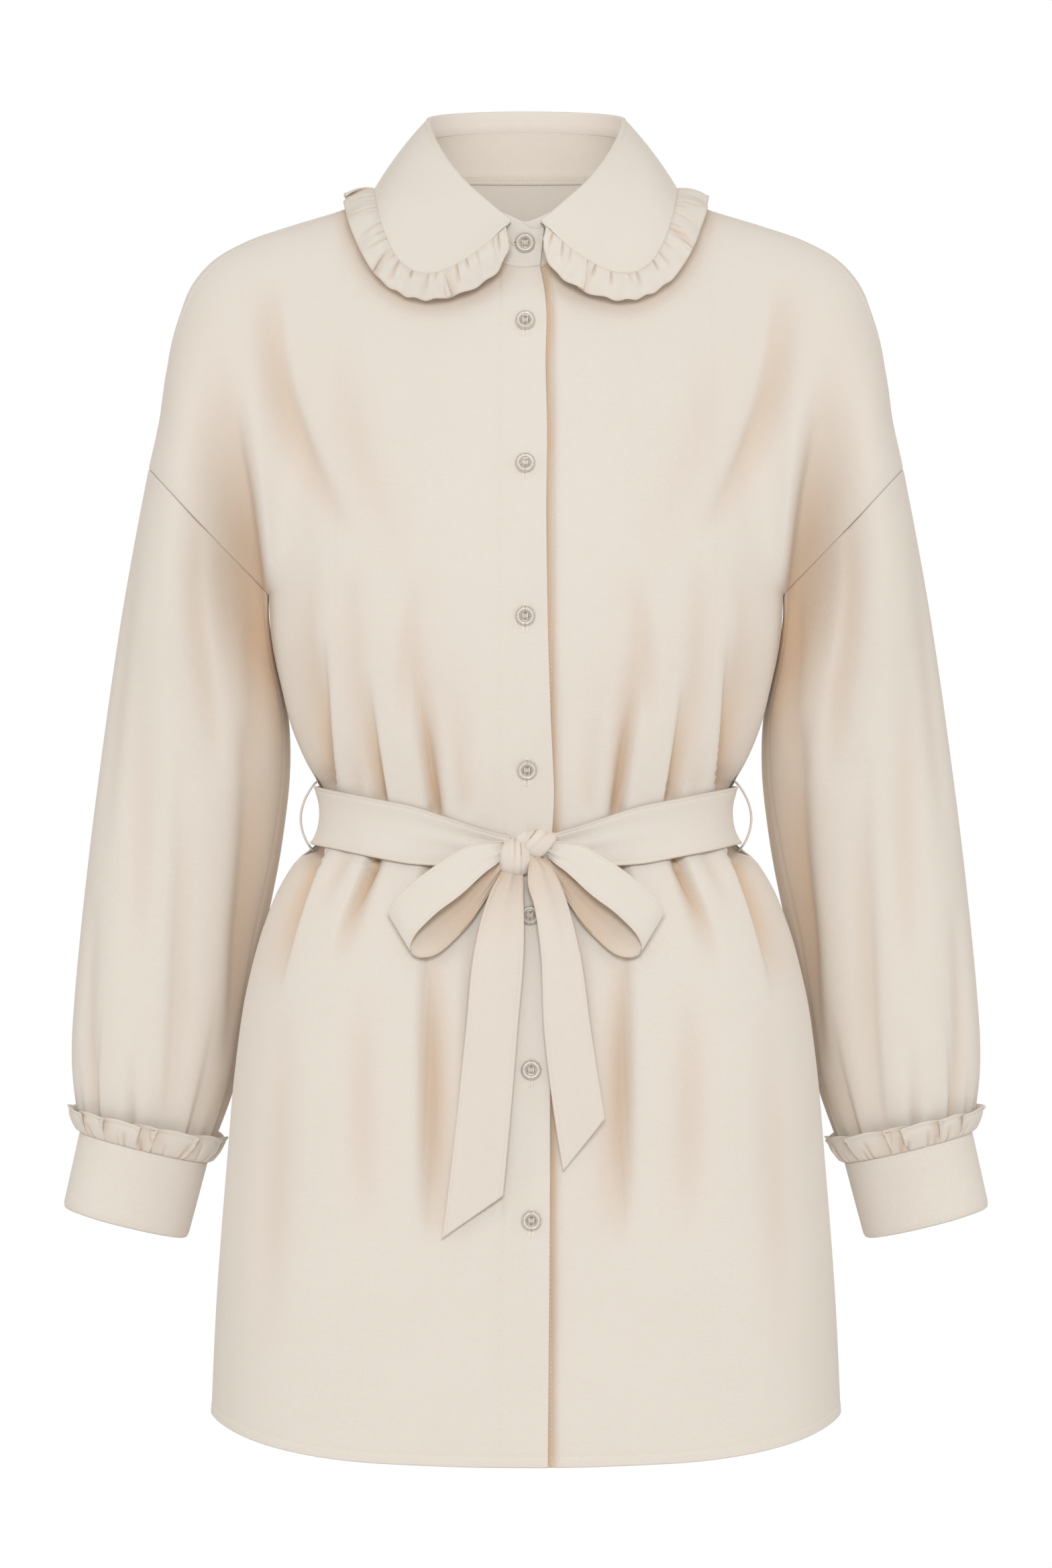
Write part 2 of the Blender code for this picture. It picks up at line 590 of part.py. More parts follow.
def outward(turn):
    """Direction out from the neck at a turn round it."""
    return np.stack([np.sin(np.radians(turn)), -np.cos(np.radians(turn)), 0 * turn], axis=-1)


def stand(turn, up):
    """Points of the stand, whose right end lies over the left one at the front."""
    low, high = ring(NECKLINE, turn), ring(STAND_TOP, turn)
    points = low + (high - low) * up[..., None] + np.array([0, 0, 1.1]) * (1 - up[..., None])
    inside = (COLLAR_WALL + LAY_GAP) * (1 - ease((turn - 10) / 6))
    return points - outward(turn) * inside[..., None]


def build_stand():
    turns = np.concatenate([[-8, -3, 2, 7, 11, 16], np.linspace(24, 352, 30), [360, 367.5]])
    points, normals = sampled(stand, turns, [0.0, 0.5, 1.0], 0.2, 0.02, 1)
    make_cloth("collar_stand", points, normals, COLLAR_WALL)


def collar_puff(turn):
    """How far the fall bulges out from the neck, more in front than at the side."""
    return PUFF * (1 + 1.6 * ease(np.cos(np.radians(turn)) * 1.5))


def fall(turn, down):
    """Points of the fall: up from the stand, over the roll, then down and out to its edge. Down goes from
    0 at the stand to 1 at the roll's start, 2 at its end and 3 at the edge."""
    top, roll = ring(STAND_TOP, turn), ring(ROLL, turn)
    out = outward(turn)
    start = top - out * COLLAR_WALL + np.array([0, 0, 0.9])
    crest = start + (roll - top)
    crest[..., 2] -= ROLL_RADIUS
    bend = np.pi * np.clip(down - 1, 0, 1)
    over = ROLL_RADIUS * ((1 - np.cos(bend))[..., None] * out + np.sin(bend)[..., None] * np.array([0, 0, 1.0]))
    end = crest + 2 * ROLL_RADIUS * out
    edge, _ = collar_row(turn)
    t = np.clip(down - 2, 0, 1)[..., None]
    bulge = np.linalg.norm(edge - end, axis=-1, keepdims=True) * t * (1 - t)
    bulge = bulge * (collar_puff(turn)[..., None] * out + np.array([0, 0, PUFF]))
    lower = end + (edge - end) * t + bulge
    rise = start + (crest - start) * np.clip(down, 0, 1)[..., None]
    return np.where((down <= 1)[..., None], rise, np.where((down <= 2)[..., None], crest + over, lower))


def collar_turns(count):
    first = COLLAR[0][0]
    return np.linspace(first, 360 - first, count)


def build_collar():
    rows = [0.0, 1.0, 1.5, 2.0, 2.3, 2.6, 3.0]
    points, normals = sampled(fall, collar_turns(33), rows, 0.2, 0.01, -1)
    make_cloth("collar", points, normals, COLLAR_WALL)


def collar_frill(turn, out):
    """Points of the frill round the edge of the fall."""
    edge, tip = collar_row(turn)
    ahead, _ = collar_row(turn + 0.5)
    along, across = unit(ahead - edge), unit(tip - edge)
    up = -unit(np.cross(along, across))
    first = COLLAR[0][0]
    share = (turn - first) / (360 - 2 * first)
    wave = np.sin(2 * np.pi * FRILL_WAVES * share + 1.3 * np.sin(2 * np.pi * 7 * share))
    lift = (FRILL_DEPTH * wave + 0.8) * out
    gap = SEAM_GAP * (2 + 3 * (1 - ease((np.minimum(turn, 360 - turn) - first) / 14)))
    return edge + across * gap[..., None] + (tip - edge) * out[..., None] + up * lift[..., None]


def build_collar_frill():
    points, normals = sampled(collar_frill, collar_turns(4 * FRILL_WAVES + 1), [0.0, 1.0], 0.1, 0.02, -1)
    make_cloth("collar_frill", points, normals, THIN_WALL)


# ---------------------------------------------------------------- belt and bow
BELT_HALF_WIDTH = 16.5
KNOT_HALF_WIDTH = 10.0  # of the belt where it goes into the knot
KNOT = (-0.1, -397.5, 15.5, 12.5, 11.0)  # centre x and z, half width, half height and half depth
BELT_WALL = 1.8


def waist_surface(x, z):
    """The front of the body at x and z, with no folds."""
    angle = np.zeros(np.broadcast(x, z).shape)
    for _ in range(6):
        half = np.abs(lower_body(angle, z, 0.0)[..., 0]) / np.maximum(np.abs(np.sin(np.radians(angle))), 1e-9)
        half = np.where(np.abs(angle) < 1e-6, lower_body(0 * angle + 90.0, z, 0.0)[..., 0], half)
        angle = np.degrees(np.arcsin(np.clip(x / half, -0.99, 0.99)))
    return lower_body(angle, z, 0.0)


def belt(angle, across):
    """Points of the belt, which lies flat round the waist and narrows into the knot."""
    angle = np.where(angle > 180, angle - 360, angle)
    half = KNOT_HALF_WIDTH + (BELT_HALF_WIDTH - KNOT_HALF_WIDTH) * ease((np.abs(angle) - 5) / 30)
    z = WAIST_Z - waist_dip(angle) + half * across
    out = unit(lower_body(angle, z, 0.0) * np.array([1, 1.4, 0]))
    middle = lower_body(angle, WAIST_Z - waist_dip(angle) + 0 * z, 0.0)
    here = lower_body(angle, z, 0.0)
    wide = np.maximum(np.linalg.norm(here[..., :2], axis=-1), np.linalg.norm(middle[..., :2], axis=-1))
    return here + out * (wide - np.linalg.norm(here[..., :2], axis=-1) + BELT_WALL + LAY_GAP + 1.6)[..., None]


def build_belt():
    points, normals = sampled(belt, np.linspace(7.4, 352.6, 41), [-1.0, 0.0, 1.0], 0.2, 0.02, 1)
    make_cloth("belt", points, normals, BELT_WALL)


def build_knot():
    x, z, half_x, half_z, half_y = KNOT
    turns, rises = np.meshgrid(np.arange(16) * 22.5, np.linspace(-75, 75, 6), indexing="ij")
    turns, rises = np.radians(turns), np.radians(rises)
    deep = waist_surface(np.array(x), np.array(float(z)))[1] - 1.5 - half_y
    soft = 0.75

    def swell(v):
        return np.sign(v) * np.abs(v) ** soft

    points = np.stack([
        x + half_x * swell(np.sin(rises)),
        deep + half_y * swell(np.cos(rises)) * swell(np.sin(turns)) * (1 + 0.08 * np.cos(4 * turns)),
        z + half_z * swell(np.cos(rises)) * swell(np.cos(turns)) - 2.5 * np.sin(rises),
    ], axis=-1)
    quads, index = grid_faces(16, 6, True)
    faces = quads[:, ::-1].tolist() + [index[:-1, 0].tolist(), index[-2::-1, -1].tolist()]
    make_object("belt_knot", points.reshape(-1, 3), faces)


# Seen from the front: along the loop, its middle, the half vector to its upper edge, and how far it stands
# off the body. The rows run out along the near leaf, round the turn and back along the far leaf.
LOOP_COLUMNS = ("at", "x", "z", "across_x", "across_z", "lift")
LOOP = (
    (0.00, 15.85, -396.6, 0.5, 4.5, 11),
    (0.12, 26.0, -400.0, 3.6, 7.7, 15),
    (0.25, 42.0, -411.0, 4.5, 10.3, 18),
    (0.38, 60.5, -425.0, 6.0, 9.6, 17),
    (0.46, 71.0, -436.0, 6.5, 9.6, 13),
    (0.50, 73.5, -441.5, 6.6, 9.8, 9),
    (0.56, 70.0, -447.0, 5.2, 9.7, 5.2),
    (0.65, 59.5, -446.5, 5.0, 10.6, 4.2),
    (0.78, 44.5, -436.5, 4.0, 10.6, 4.2),
    (0.90, 29.0, -422.5, 2.0, 8.5, 4.6),
    (1.00, 15.7, -405.5, 0.0, 4.5, 6.5),
)


def bow_loop(at, across, side):
    x, z, across_x, across_z, lift = (column_at(LOOP, LOOP_COLUMNS, n, "at", at) for n in LOOP_COLUMNS[1:])
    x, z = x + across * across_x, z + across * across_z
    points = waist_surface(side * x, z)
    points[..., 1] -= lift + 1.5 * (1 - across**2) * np.sin(np.pi * at)
    return points


def build_bow_loop(name, side):
    rows = [0, 0.08, 0.17, 0.27, 0.37, 0.44, 0.48, 0.52, 0.56, 0.62, 0.72, 0.83, 0.92, 1.0]
    points, normals = sampled(lambda t, w: bow_loop(t, w, side), rows, [-1, -0.5, 0, 0.5, 1], 2e-3, 0.02, side)
    make_cloth(name, points, normals, 1.4)


# A tail: height, its middle, its half width and how far it stands off the skirt.
TAIL_COLUMNS = ("z", "x", "half_width", "lift")
TAILS = {
    "belt_tail_right": (
        (-410.4, -5.0, 6.0, 13.0),
        (-428, -9.5, 9.0, 8.5),
        (-450, -15.0, 13.8, 7.5),
        (-500, -19.8, 15.0, 5.0),
        (-560, -25.5, 15.6, 4.5),
        (-605, -30.5, 16.0, 4.5),
        (-630, -34.0, 16.2, 4.5),
    ),
    "belt_tail_left": (
        (-410.8, 7.5, 5.5, 12.0),
        (-427, 13.5, 8.8, 8.5),
        (-450, 18.5, 10.5, 8.5),
        (-500, 24.0, 13.6, 7.0),
        (-540, 29.5, 14.4, 6.0),
        (-565, 33.5, 14.6, 5.5),
        (-590, 38.0, 14.8, 5.0),
    ),
}
TAIL_ENDS = {"belt_tail_right": (-629.0, -605.0), "belt_tail_left": (-588.0, -560.0)}


def build_tail(name):
    left_end, right_end = TAIL_ENDS[name]
    top = TAILS[name][0][0]

    def surface(across, down):
        z = top + ((left_end + right_end) / 2 + (right_end - left_end) / 2 * across - top) * down
        x, half, lift = (column_at(TAILS[name], TAIL_COLUMNS, n, "z", z) for n in ("x", "half_width", "lift"))
        points = waist_surface(x + half * across, z)
        points[..., 1] -= lift + 1.2 * np.cos(2.2 * across + z / 40)
        return points

    points, normals = sampled(surface, np.linspace(-1, 1, 6), np.linspace(0, 1, 12), 0.02, 0.005, -1)
    make_cloth(name, points, normals, 1.4)


def build_belt_loop(name, side):
    def surface(across, down):
        z = -353.5 - 46.5 * down
        points = lower_body(np.full_like(z, 90.0), z, 0.0)
        lift = 2.6 + 9.5 * np.sin(np.pi * np.clip(down, 0.0, 1.0)) ** 0.8
        points[..., 0] = side * (points[..., 0] + lift)
        points[..., 1] += 2.6 * across
        return points

    points, normals = sampled(surface, np.array([-1.0, 1.0]), np.linspace(0, 1, 10), 0.1, 0.01, -side)
    make_cloth(name, points, normals, 1.6)


# ---------------------------------------------------------------- buttons
BUTTON_RADIUS = 5.75
BUTTON_THICK = 2.4
BUTTON_ZS = (-86, -170, -261, -349.5, -434, -522, -608)  # down the front; one more is on the stand


def make_button(name, centre, out):
    """A round button with four holes, its back on the point centre and its axis along out."""
    lines = np.array([-1.0, -0.42, -0.13, 0.13, 0.42, 1.0])
    gx, gy = np.meshgrid(lines, lines, indexing="ij")
    reach = np.maximum(np.abs(gx), np.abs(gy))
    round_off = reach / np.maximum(np.hypot(gx, gy), 1e-9)
    keep = ease((reach - 0.42) / 0.58)
    scale = BUTTON_RADIUS * (1 + (round_off - 1) * keep)
    right = unit(np.cross([0, 0, 1.0], out))
    up = np.cross(out, right)
    flat = centre + (gx * scale)[..., None] * right + (gy * scale)[..., None] * up
    height = np.where(reach > 0.9, BUTTON_THICK * 0.8, BUTTON_THICK * 0.72)
    layers = np.stack([flat, flat + height[..., None] * out])
    index = np.arange(36).reshape(6, 6)
    cells = [(i, j) for i in range(5) for j in range(5) if (i, j) not in ((1, 1), (1, 3), (3, 1), (3, 3))]
    quads = [[index[i, j], index[i + 1, j], index[i + 1, j + 1], index[i, j + 1]] for i, j in cells]
    sides = {}
    for quad in quads:
        for a, b in zip(quad, quad[1:] + quad[:1]):
            sides.pop((b, a), None) or sides.setdefault((a, b), True)
    faces = [[36 + v for v in quad] for quad in quads] + [quad[::-1] for quad in quads]
    faces += [[a, b, b + 36, a + 36] for a, b in sides]
    make_object(name, layers.reshape(-1, 3), faces)


def fastening_x(z):
    """How far the middle of the front fastening sits from the centre: the belt pulls it over a little."""
    return 3.0 * ease((-z - 290) / 150)


def build_buttons():
    for number, z in enumerate((None,) + BUTTON_ZS, start=1):
        if z is None:
            turn = np.array(0.0)
            points = [stand(turn + 360 + a, np.array(u)) for a, u in ((0, 0.5), (1, 0.5), (0, 0.6))]
        else:
            def level(at):
                return np.where(at <= UNDERARM_Z, (at - hem_z(0)) / (UNDERARM_Z - hem_z(0)),
                                1 + (at - UNDERARM_Z) / (NECKLINE[3] - UNDERARM_Z))
            turn = np.degrees(fastening_x(z) / 165)
            points = [body(turn + a, level(at)) for a, at in ((0, z), (0.5, z), (0, z + 2.0))]
        out = unit(np.cross(points[1] - points[0], points[2] - points[0]))
        make_button(f"button_{number}", points[0] + out * LAY_GAP, out)


def clear_scene():
    for thing in list(bpy.data.objects):
        bpy.data.objects.remove(thing)


def build():
    clear_scene()
    build_body()
    for hand, side in (("right", -1), ("left", 1)):
        build_sleeve(f"sleeve_{hand}", side)
        build_cuff(f"cuff_{hand}", side)
        build_cuff_frill(f"cuff_frill_{hand}", side)
        build_bow_loop(f"bow_loop_{hand}", side)
        build_tail(f"belt_tail_{hand}")
        build_belt_loop(f"belt_loop_{hand}", side)
    build_stand()
    build_collar()
    build_collar_frill()
    build_belt()
    build_knot()
    build_buttons()


build()
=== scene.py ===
"""A belted tunic top with a frilled collar, dressed for Blender 4.5 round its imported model.

The wearer faces -Y, +X is the wearer's left and +Z is up. The origin is midway between the shoulders. Tables
and sizes are in millimetres, and every mesh is made in metres. Each piece of cloth is a surface of two
parameters, worked out on a grid, with a thin wall behind it.
"""
import math

import bmesh
import bpy
import numpy as np
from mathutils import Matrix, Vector


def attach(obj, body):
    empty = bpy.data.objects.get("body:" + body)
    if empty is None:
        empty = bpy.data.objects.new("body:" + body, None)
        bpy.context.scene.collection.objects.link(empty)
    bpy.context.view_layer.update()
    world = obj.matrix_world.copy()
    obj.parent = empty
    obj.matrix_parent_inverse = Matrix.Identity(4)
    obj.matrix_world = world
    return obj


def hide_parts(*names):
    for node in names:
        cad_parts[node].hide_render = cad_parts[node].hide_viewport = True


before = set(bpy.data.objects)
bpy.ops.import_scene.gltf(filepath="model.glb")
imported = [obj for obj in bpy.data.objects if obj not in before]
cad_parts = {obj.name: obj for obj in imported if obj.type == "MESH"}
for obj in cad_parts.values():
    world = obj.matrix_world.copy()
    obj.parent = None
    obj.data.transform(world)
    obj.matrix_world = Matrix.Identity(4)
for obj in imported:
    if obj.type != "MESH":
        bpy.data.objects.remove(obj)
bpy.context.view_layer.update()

# ================================================================ camera
# A camera at chest height, square to the front, far enough off that the garment hardly widens towards it.
# The picture is 1568 x 2338, its long side upright, and takes in 935 mm of height at the middle of the body.
CAMERA_DISTANCE = 3.2
CAMERA_HEIGHT = -0.3577
FRAME_HEIGHT = 0.9352
SENSOR = 36.0

lens = bpy.data.cameras.new("camera")
lens.sensor_fit = "AUTO"
lens.sensor_width = SENSOR
lens.lens = SENSOR * CAMERA_DISTANCE / FRAME_HEIGHT
camera = bpy.data.objects.new("camera", lens)
camera.location = (0, -CAMERA_DISTANCE, CAMERA_HEIGHT)
camera.rotation_euler = (math.radians(90), 0, 0)
bpy.context.scene.collection.objects.link(camera)
bpy.context.scene.camera = camera

# ================================================================ two fronts and a back
# A soft plain-woven cloth, cut wide and dropped at the shoulder. The fronts and the back are sewn at the
# shoulders and sides, the hem is turned twice and stitched, and the fronts' edges are folded to a placket.
MM = 0.001


def smooth_through(at, knots, values):
    """Cubic pieces through values at rising knots; the slope at a knot is the mean of its two sides."""
    slopes = np.gradient(values, knots)
    span = np.clip(np.searchsorted(knots, at) - 1, 0, len(knots) - 2)
    wide = knots[span + 1] - knots[span]
    t = np.clip((at - knots[span]) / wide, 0, 1)
    return (
        values[span] * (1 + 2 * t) * (1 - t) ** 2
        + values[span + 1] * t**2 * (3 - 2 * t)
        + wide * t * (1 - t) * (slopes[span] * (1 - t) - slopes[span + 1] * t)
    )


class Table:
    """Rows of numbers under named columns."""

    def __init__(self, names, *rows):
        self.names, self.rows = names.split(), np.array(rows, float)

    def __getitem__(self, name):
        return self.rows[:, self.names.index(name)]

    def at(self, value, *names):
        """Columns, all but the first unless named, at any value of the first one, as smooth curves."""
        order = np.argsort(self.rows[:, 0])
        keys = self.rows[order, 0]
        value = np.asarray(value, float)
        return [smooth_through(value, keys, self[name][order]) for name in names or self.names[1:]]


UNDERARM_Z = -245.0
HEM_FRONT_Z = -748.5
HEM_SIDE_RISE = 19.0
SIDE_Y = 3.0
SECTION_POWER = 0.86  # below 1 makes a section fuller than an ellipse
BODY = Table(
    "z half_width front back",
    (-245, 153.5, 116, 103),
    (-270, 152, 116, 100),
    (-300, 146, 112, 96),
    (-325, 139.5, 107, 92),
    (-343, 132, 102, 89),
    (-360, 123, 97, 86),
    (-376, 120, 94, 85),
    (-391, 124.5, 96, 87),
    (-403, 137, 100, 92),
    (-416, 145.5, 104, 97),
    (-440, 156, 111, 106),
    (-478, 166.5, 118, 113),
    (-522, 173.5, 123, 118),
    (-580, 179, 127, 122),
    (-655, 185, 131, 126),
    (-750, 189.5, 134, 129),
)
WAIST_Z = -376.0
WAIST_DIP = 24.0  # the tied waist drops this much at the centre front
WAIST_DIP_BACK = -4.0
WAIST_REACH = 130.0
SHOULDER = Table(
    "x z",
    (62, 3), (85, -7), (110, -16), (142, -25.5), (169, -35), (187.5, -46),
    (200.5, -62), (208.5, -83), (215, -113), (219, -142), (225, -170),
)
NECK_SHARE = 0.413  # share of a quarter of the body that ends on the neckline
ARM_START = 0.62  # from this share on, the columns swell round the arm
SEAM_LEAD = 0.07  # how far the shoulder seam runs in front of the crest
NECKLINE = (62, 77, 60, -57, 3, 9)  # half width, front, back, and height in front, at the side and behind
ARMHOLE = (225.0, -170, 153.5, -245, 3, 61)  # outer x and z, inner x and z, depth, half thickness
# The crease between the body and the arm: its place, how much of the depth beside it is drawn in, and how far
# to the body's side and to the arm's.
ARMPIT = Table(
    "z x pull body_side arm_side",
    (-60, 187, 0, 20, 24),
    (-85, 184, 0.03, 16, 26),
    (-120, 177, 0.13, 11, 28),
    (-160, 168.5, 0.34, 7, 31),
    (-200, 162, 0.60, 5, 32),
    (-232, 158, 0.80, 4, 32),
    (-260, 155, 0.78, 4, 30),
    (-300, 150, 0.45, 4, 26),
    (-345, 146, 0, 4, 22),
)
# The skirt's long soft waves, with their depths at the hem.
SKIRT = Table(
    "angle depth half_width",
    (20, 3, 9), (55, -1.5, 14), (100, 4.5, 13), (132, -2.5, 12), (160, 4.5, 12),
)
SKIRT_START = 20.0  # below the waist, where the waves begin
SKIRT_GROWTH = 260.0
# How far a front's edge lies past the centre, down the fastening.
EDGE = Table(
    "z x",
    (-57, 8), (-68, 10.2), (-80, 11.5), (-115, 11.1), (-155, 11.9), (-200, 11.3),
    (-245, 11.8), (-300, 12.8), (-350, 14.3), (-500, 13.8), (-650, 12.9), (-750, 12),
)
# Creases, each along a line from its foot to its tip seen from in front or behind, with x as distance from
# the centre. Right and left are its depths on those sides, at the foot, or half way for one that fades at
# both ends; inner and outer are its half widths towards the centre and the side, and spread their growth.
CREASE = "foot_x foot_z tip_x tip_z bow right left inner outer spread both_ends_fade"
FRONT_CREASES = Table(
    CREASE,
    (114.3, -358, 118.6, -262, 1.5, 10.5, 11, 1.4, 7, 1.2, 0),
    (83.2, -367, 93.5, -286, 1.5, 10, 9.4, 1.4, 5.5, 1.3, 0),
    (55.2, -372, 66, -262, 1.2, 9.4, 9.8, 5.5, 1.5, 1.3, 0),
    (99, -362, 104, -318, 0.5, 2, 1.4, 5, 4, 0.8, 0),
    (36, -366, 50, -262, -2, 2.2, 1.6, 6, 4, 1.2, 0),
    (72, -330, 64, -232, 1, 2.2, 2.6, 8, 5, 0.2, 1),
    (98, -340, 103, -222, 1, 1.8, 2, 7, 7, 0.2, 1),
    (128, -345, 127, -225, 2, 2.4, 2, 6, 9, 0.2, 1),
    (103, -215, 150, -56, 13, 5, 4.6, 6, 13, -0.2, 1),
    (70, -235, 112, -96, 6, 1.6, 1.2, 12, 14, 0, 1),
    (121.9, -397, 148, -492, 4, 11.5, 12, 1.6, 6.5, 1.3, 0),
    (89.8, -401, 113, -470, 2.6, 9.5, 9, 5, 1.8, 1.2, 0),
    (57, -405, 68, -462, 1, 6.5, 7, 5, 1.8, 1, 0),
    (106, -400, 124, -440, 1, 2.4, 2, 4, 4, 0.8, 0),
    (57.5, -440, 56, -625, 1, 7.4, 7, 10, 2.6, 0.5, 1),
    (95, -470, 92, -622, 2, 2.2, 2.6, 9, 8, 0.2, 1),
    (140, -480, 150, -690, 2, 2, 1.6, 10, 9, 0, 1),
    (28, -420, 33, -560, 0, 2.4, 3.2, 8, 6, 0.2, 1),
)
BACK_CREASES = Table(
    CREASE,
    (108, -356, 114, -262, 2, 7.4, 8, 6.5, 1.8, 1.4, 0),
    (79, -352, 86, -250, -2, 7.2, 6.2, 1.8, 7, 1.6, 0),
    (52, -350, 51, -268, 1, 5.6, 6.8, 5.5, 2, 1.6, 0),
    (22, -350, 30, -236, 3, 6.2, 4.8, 2.2, 6, 1.8, 0),
    (66, -352, 72, -310, 0.5, 2.4, 2, 4, 4, 0.8, 0),
    (98, -330, 92, -205, 2, 2.2, 2.6, 8, 6, 0.2, 1),
    (40, -320, 36, -190, 1, 2, 1.4, 9, 8, 0.2, 1),
    (112, -222, 146, -66, 9, 4.4, 4.8, 7, 13, -0.2, 1),
    (60, -215, 96, -84, 5, 1.8, 1.4, 13, 13, 0, 1),
    (116, -392, 140, -480, 4, 8.6, 8, 2, 7, 1.6, 0),
    (84, -386, 98, -466, 2, 6.6, 7.4, 6, 2, 1.4, 0),
    (50, -384, 58, -450, -1, 6.6, 5.6, 2, 5.5, 1.4, 0),
    (20, -384, 22, -470, 1, 5, 6, 5, 2.2, 1.4, 0),
    (66, -450, 70, -640, 3, 3.6, 3, 10, 8, 0.2, 1),
    (112, -470, 118, -660, 2, 2.8, 3.4, 9, 10, 0.2, 1),
    (26, -470, 30, -680, 1, 2.6, 3, 9, 9, 0.2, 1),
)


def ease(x):
    """A smooth step from 0 to 1 as x goes from 0 to 1: 3x^2 - 2x^3."""
    x = np.clip(x, 0, 1)
    return x * x * (3 - 2 * x)


def bell(off, before, after=None):
    """A bell curve of a distance, with its own half width on either side of the middle."""
    after = before if after is None else after
    return np.exp(-((off / np.where(off < 0, before, after)) ** 2))


def unit(vectors):
    """Vectors divided by their lengths."""
    return vectors / np.maximum(np.linalg.norm(vectors, axis=-1, keepdims=True), 1e-9)


def hem_z(angle):
    """Height of the hem: its front height, raised at the sides by the fourth power of the sine."""
    return HEM_FRONT_Z + HEM_SIDE_RISE * np.abs(np.sin(np.radians(angle))) ** 4


def waist_dip(angle):
    """How far the tied waist lies below its height at the sides: in step with 1 less the sine."""
    share = 1 - np.abs(np.sin(np.radians(angle)))
    return np.where(np.abs(angle) <= 90, WAIST_DIP, WAIST_DIP_BACK) * share


def lower_body(angle, z):
    """Below the underarm: half width times the sine across, depth times a power of the cosine to the front
    or back, both read from the section at this height, which is lowered near the waist towards the front."""
    section = np.minimum(z + waist_dip(angle) * bell(z - WAIST_Z, WAIST_REACH), UNDERARM_Z)
    half, front, back = BODY.at(section)
    turn = np.radians(angle)
    wave = sum(depth * bell(np.abs(angle) - middle, wide) for middle, depth, wide in SKIRT.rows)
    wave = wave * ease((WAIST_Z - SKIRT_START - z) / SKIRT_GROWTH)
    depth = np.where(np.abs(angle) <= 90, -front, back)
    x = (half - wave) * np.sin(turn)
    y = SIDE_Y + depth * (1 - wave / np.abs(depth)) * np.abs(np.cos(turn)) ** SECTION_POWER
    return np.stack(np.broadcast_arrays(x, y, z), axis=-1)


def ring(sizes, angle):
    """A ring round the neck: an ellipse with one depth in front and one behind, whose height falls from the
    back to the front by the cosine in the back half and by a power of (1 + cos) / 2 in the front half."""
    half, front, back, front_z, side_z, back_z = sizes
    turn = np.radians(angle)
    power = math.log((back_z - side_z) / (back_z - front_z)) / math.log(0.5)
    in_front = np.cos(turn) > 0
    dip = (front_z - back_z) * ((1 + np.cos(turn)) / 2) ** power
    z = np.where(in_front, back_z + dip, side_z - (back_z - side_z) * np.cos(turn))
    return np.stack([half * np.sin(turn), -np.where(in_front, front, back) * np.cos(turn), z], axis=-1)


def crest(share):
    """The crest of the shoulder and upper arm, 0 at the neck and 1 at the armhole, by length along it."""
    xs, zs = SHOULDER["x"], SHOULDER["z"]
    length = np.concatenate([[0], np.cumsum(np.hypot(np.diff(xs), np.diff(zs)))])
    share = np.clip(share, 0, 1)
    at = share * length[-1]
    y = ring(NECKLINE, np.array(90.0))[1] + SIDE_Y * share
    return np.stack([smooth_through(at, length, xs), y, smooth_through(at, length, zs)], axis=-1)


def armpit_pull(points, body_share=1.0, arm_share=1.0):
    """How much of its depth cloth is drawn in beside the crease between body and arm: a bell curve of the
    distance from the crease, steep on the body's side and wide on the arm's, or a share of those widths."""
    x, z = np.abs(points[..., 0]), points[..., 2]
    line, pull, body_side, arm_side = ARMPIT.at(z)
    across = bell(x - line, body_side * body_share, arm_side * arm_share)
    return np.where((z > ARMPIT["z"].min()) & (z < ARMPIT["z"].max()), pull * across, 0)


def armpit(points):
    """Draws cloth in towards the middle of its depth, by the armpit's pull."""
    moved = points.copy()
    moved[..., 1] = SIDE_Y + (points[..., 1] - SIDE_Y) * (1 - armpit_pull(points))
    return moved


def armpit_shade(points):
    """Painted shade in the crease between body and arm: how deep in it a point lies."""
    return 1.1 * armpit_pull(points, 0.6, 0.8)


def upper_body(angle, rise):
    """Above the underarm: each column of cloth climbs from the section at the underarm, by a quarter of an
    oval, and rolls over to the neckline or the crest; the last columns swell round the arm by a half turn."""
    share = np.where(np.abs(angle) <= 90, np.abs(angle), 180 - np.abs(angle)) / 90
    side = np.where(angle < 0, -1.0, 1.0)
    front = np.where(np.abs(angle) <= 90, 1.0, -1.0)
    foot = lower_body(angle, np.full_like(angle, UNDERARM_Z))
    on_neck = share < NECK_SHARE
    neck_angle = np.where(on_neck, share / NECK_SHARE * 90, 90)
    top = np.where(
        on_neck[..., None],
        ring(NECKLINE, np.where(front > 0, neck_angle, 180 - neck_angle)),
        crest((share - NECK_SHARE) / (1 - NECK_SHARE)),
    )
    quarter = np.radians(90 * rise)
    rolled = ease((share - 0.1) / (NECK_SHARE - 0.05))
    up = (1 - rolled) * rise + rolled * np.sin(quarter)
    back_to = (1 - rolled) * (1 - rise**1.5) + rolled * np.cos(quarter) ** SECTION_POWER
    arm = ease((share - ARM_START) / (1 - ARM_START))
    half_turn = (1 - np.cos(np.pi * rise)) / 2
    up = (1 - arm) * up + arm * half_turn
    out = (1 - arm) * (1 - np.cos(quarter)) + arm * half_turn
    x = np.abs(foot[..., 0]) * (1 - out) + top[..., 0] * out
    z = foot[..., 2] * (1 - up) + top[..., 2] * up
    y = top[..., 1] + (foot[..., 1] - top[..., 1]) * back_to
    y = y - front * arm * ARMHOLE[-1] * np.sin(np.pi * rise)
    return np.stack([side * x, y, z], axis=-1)


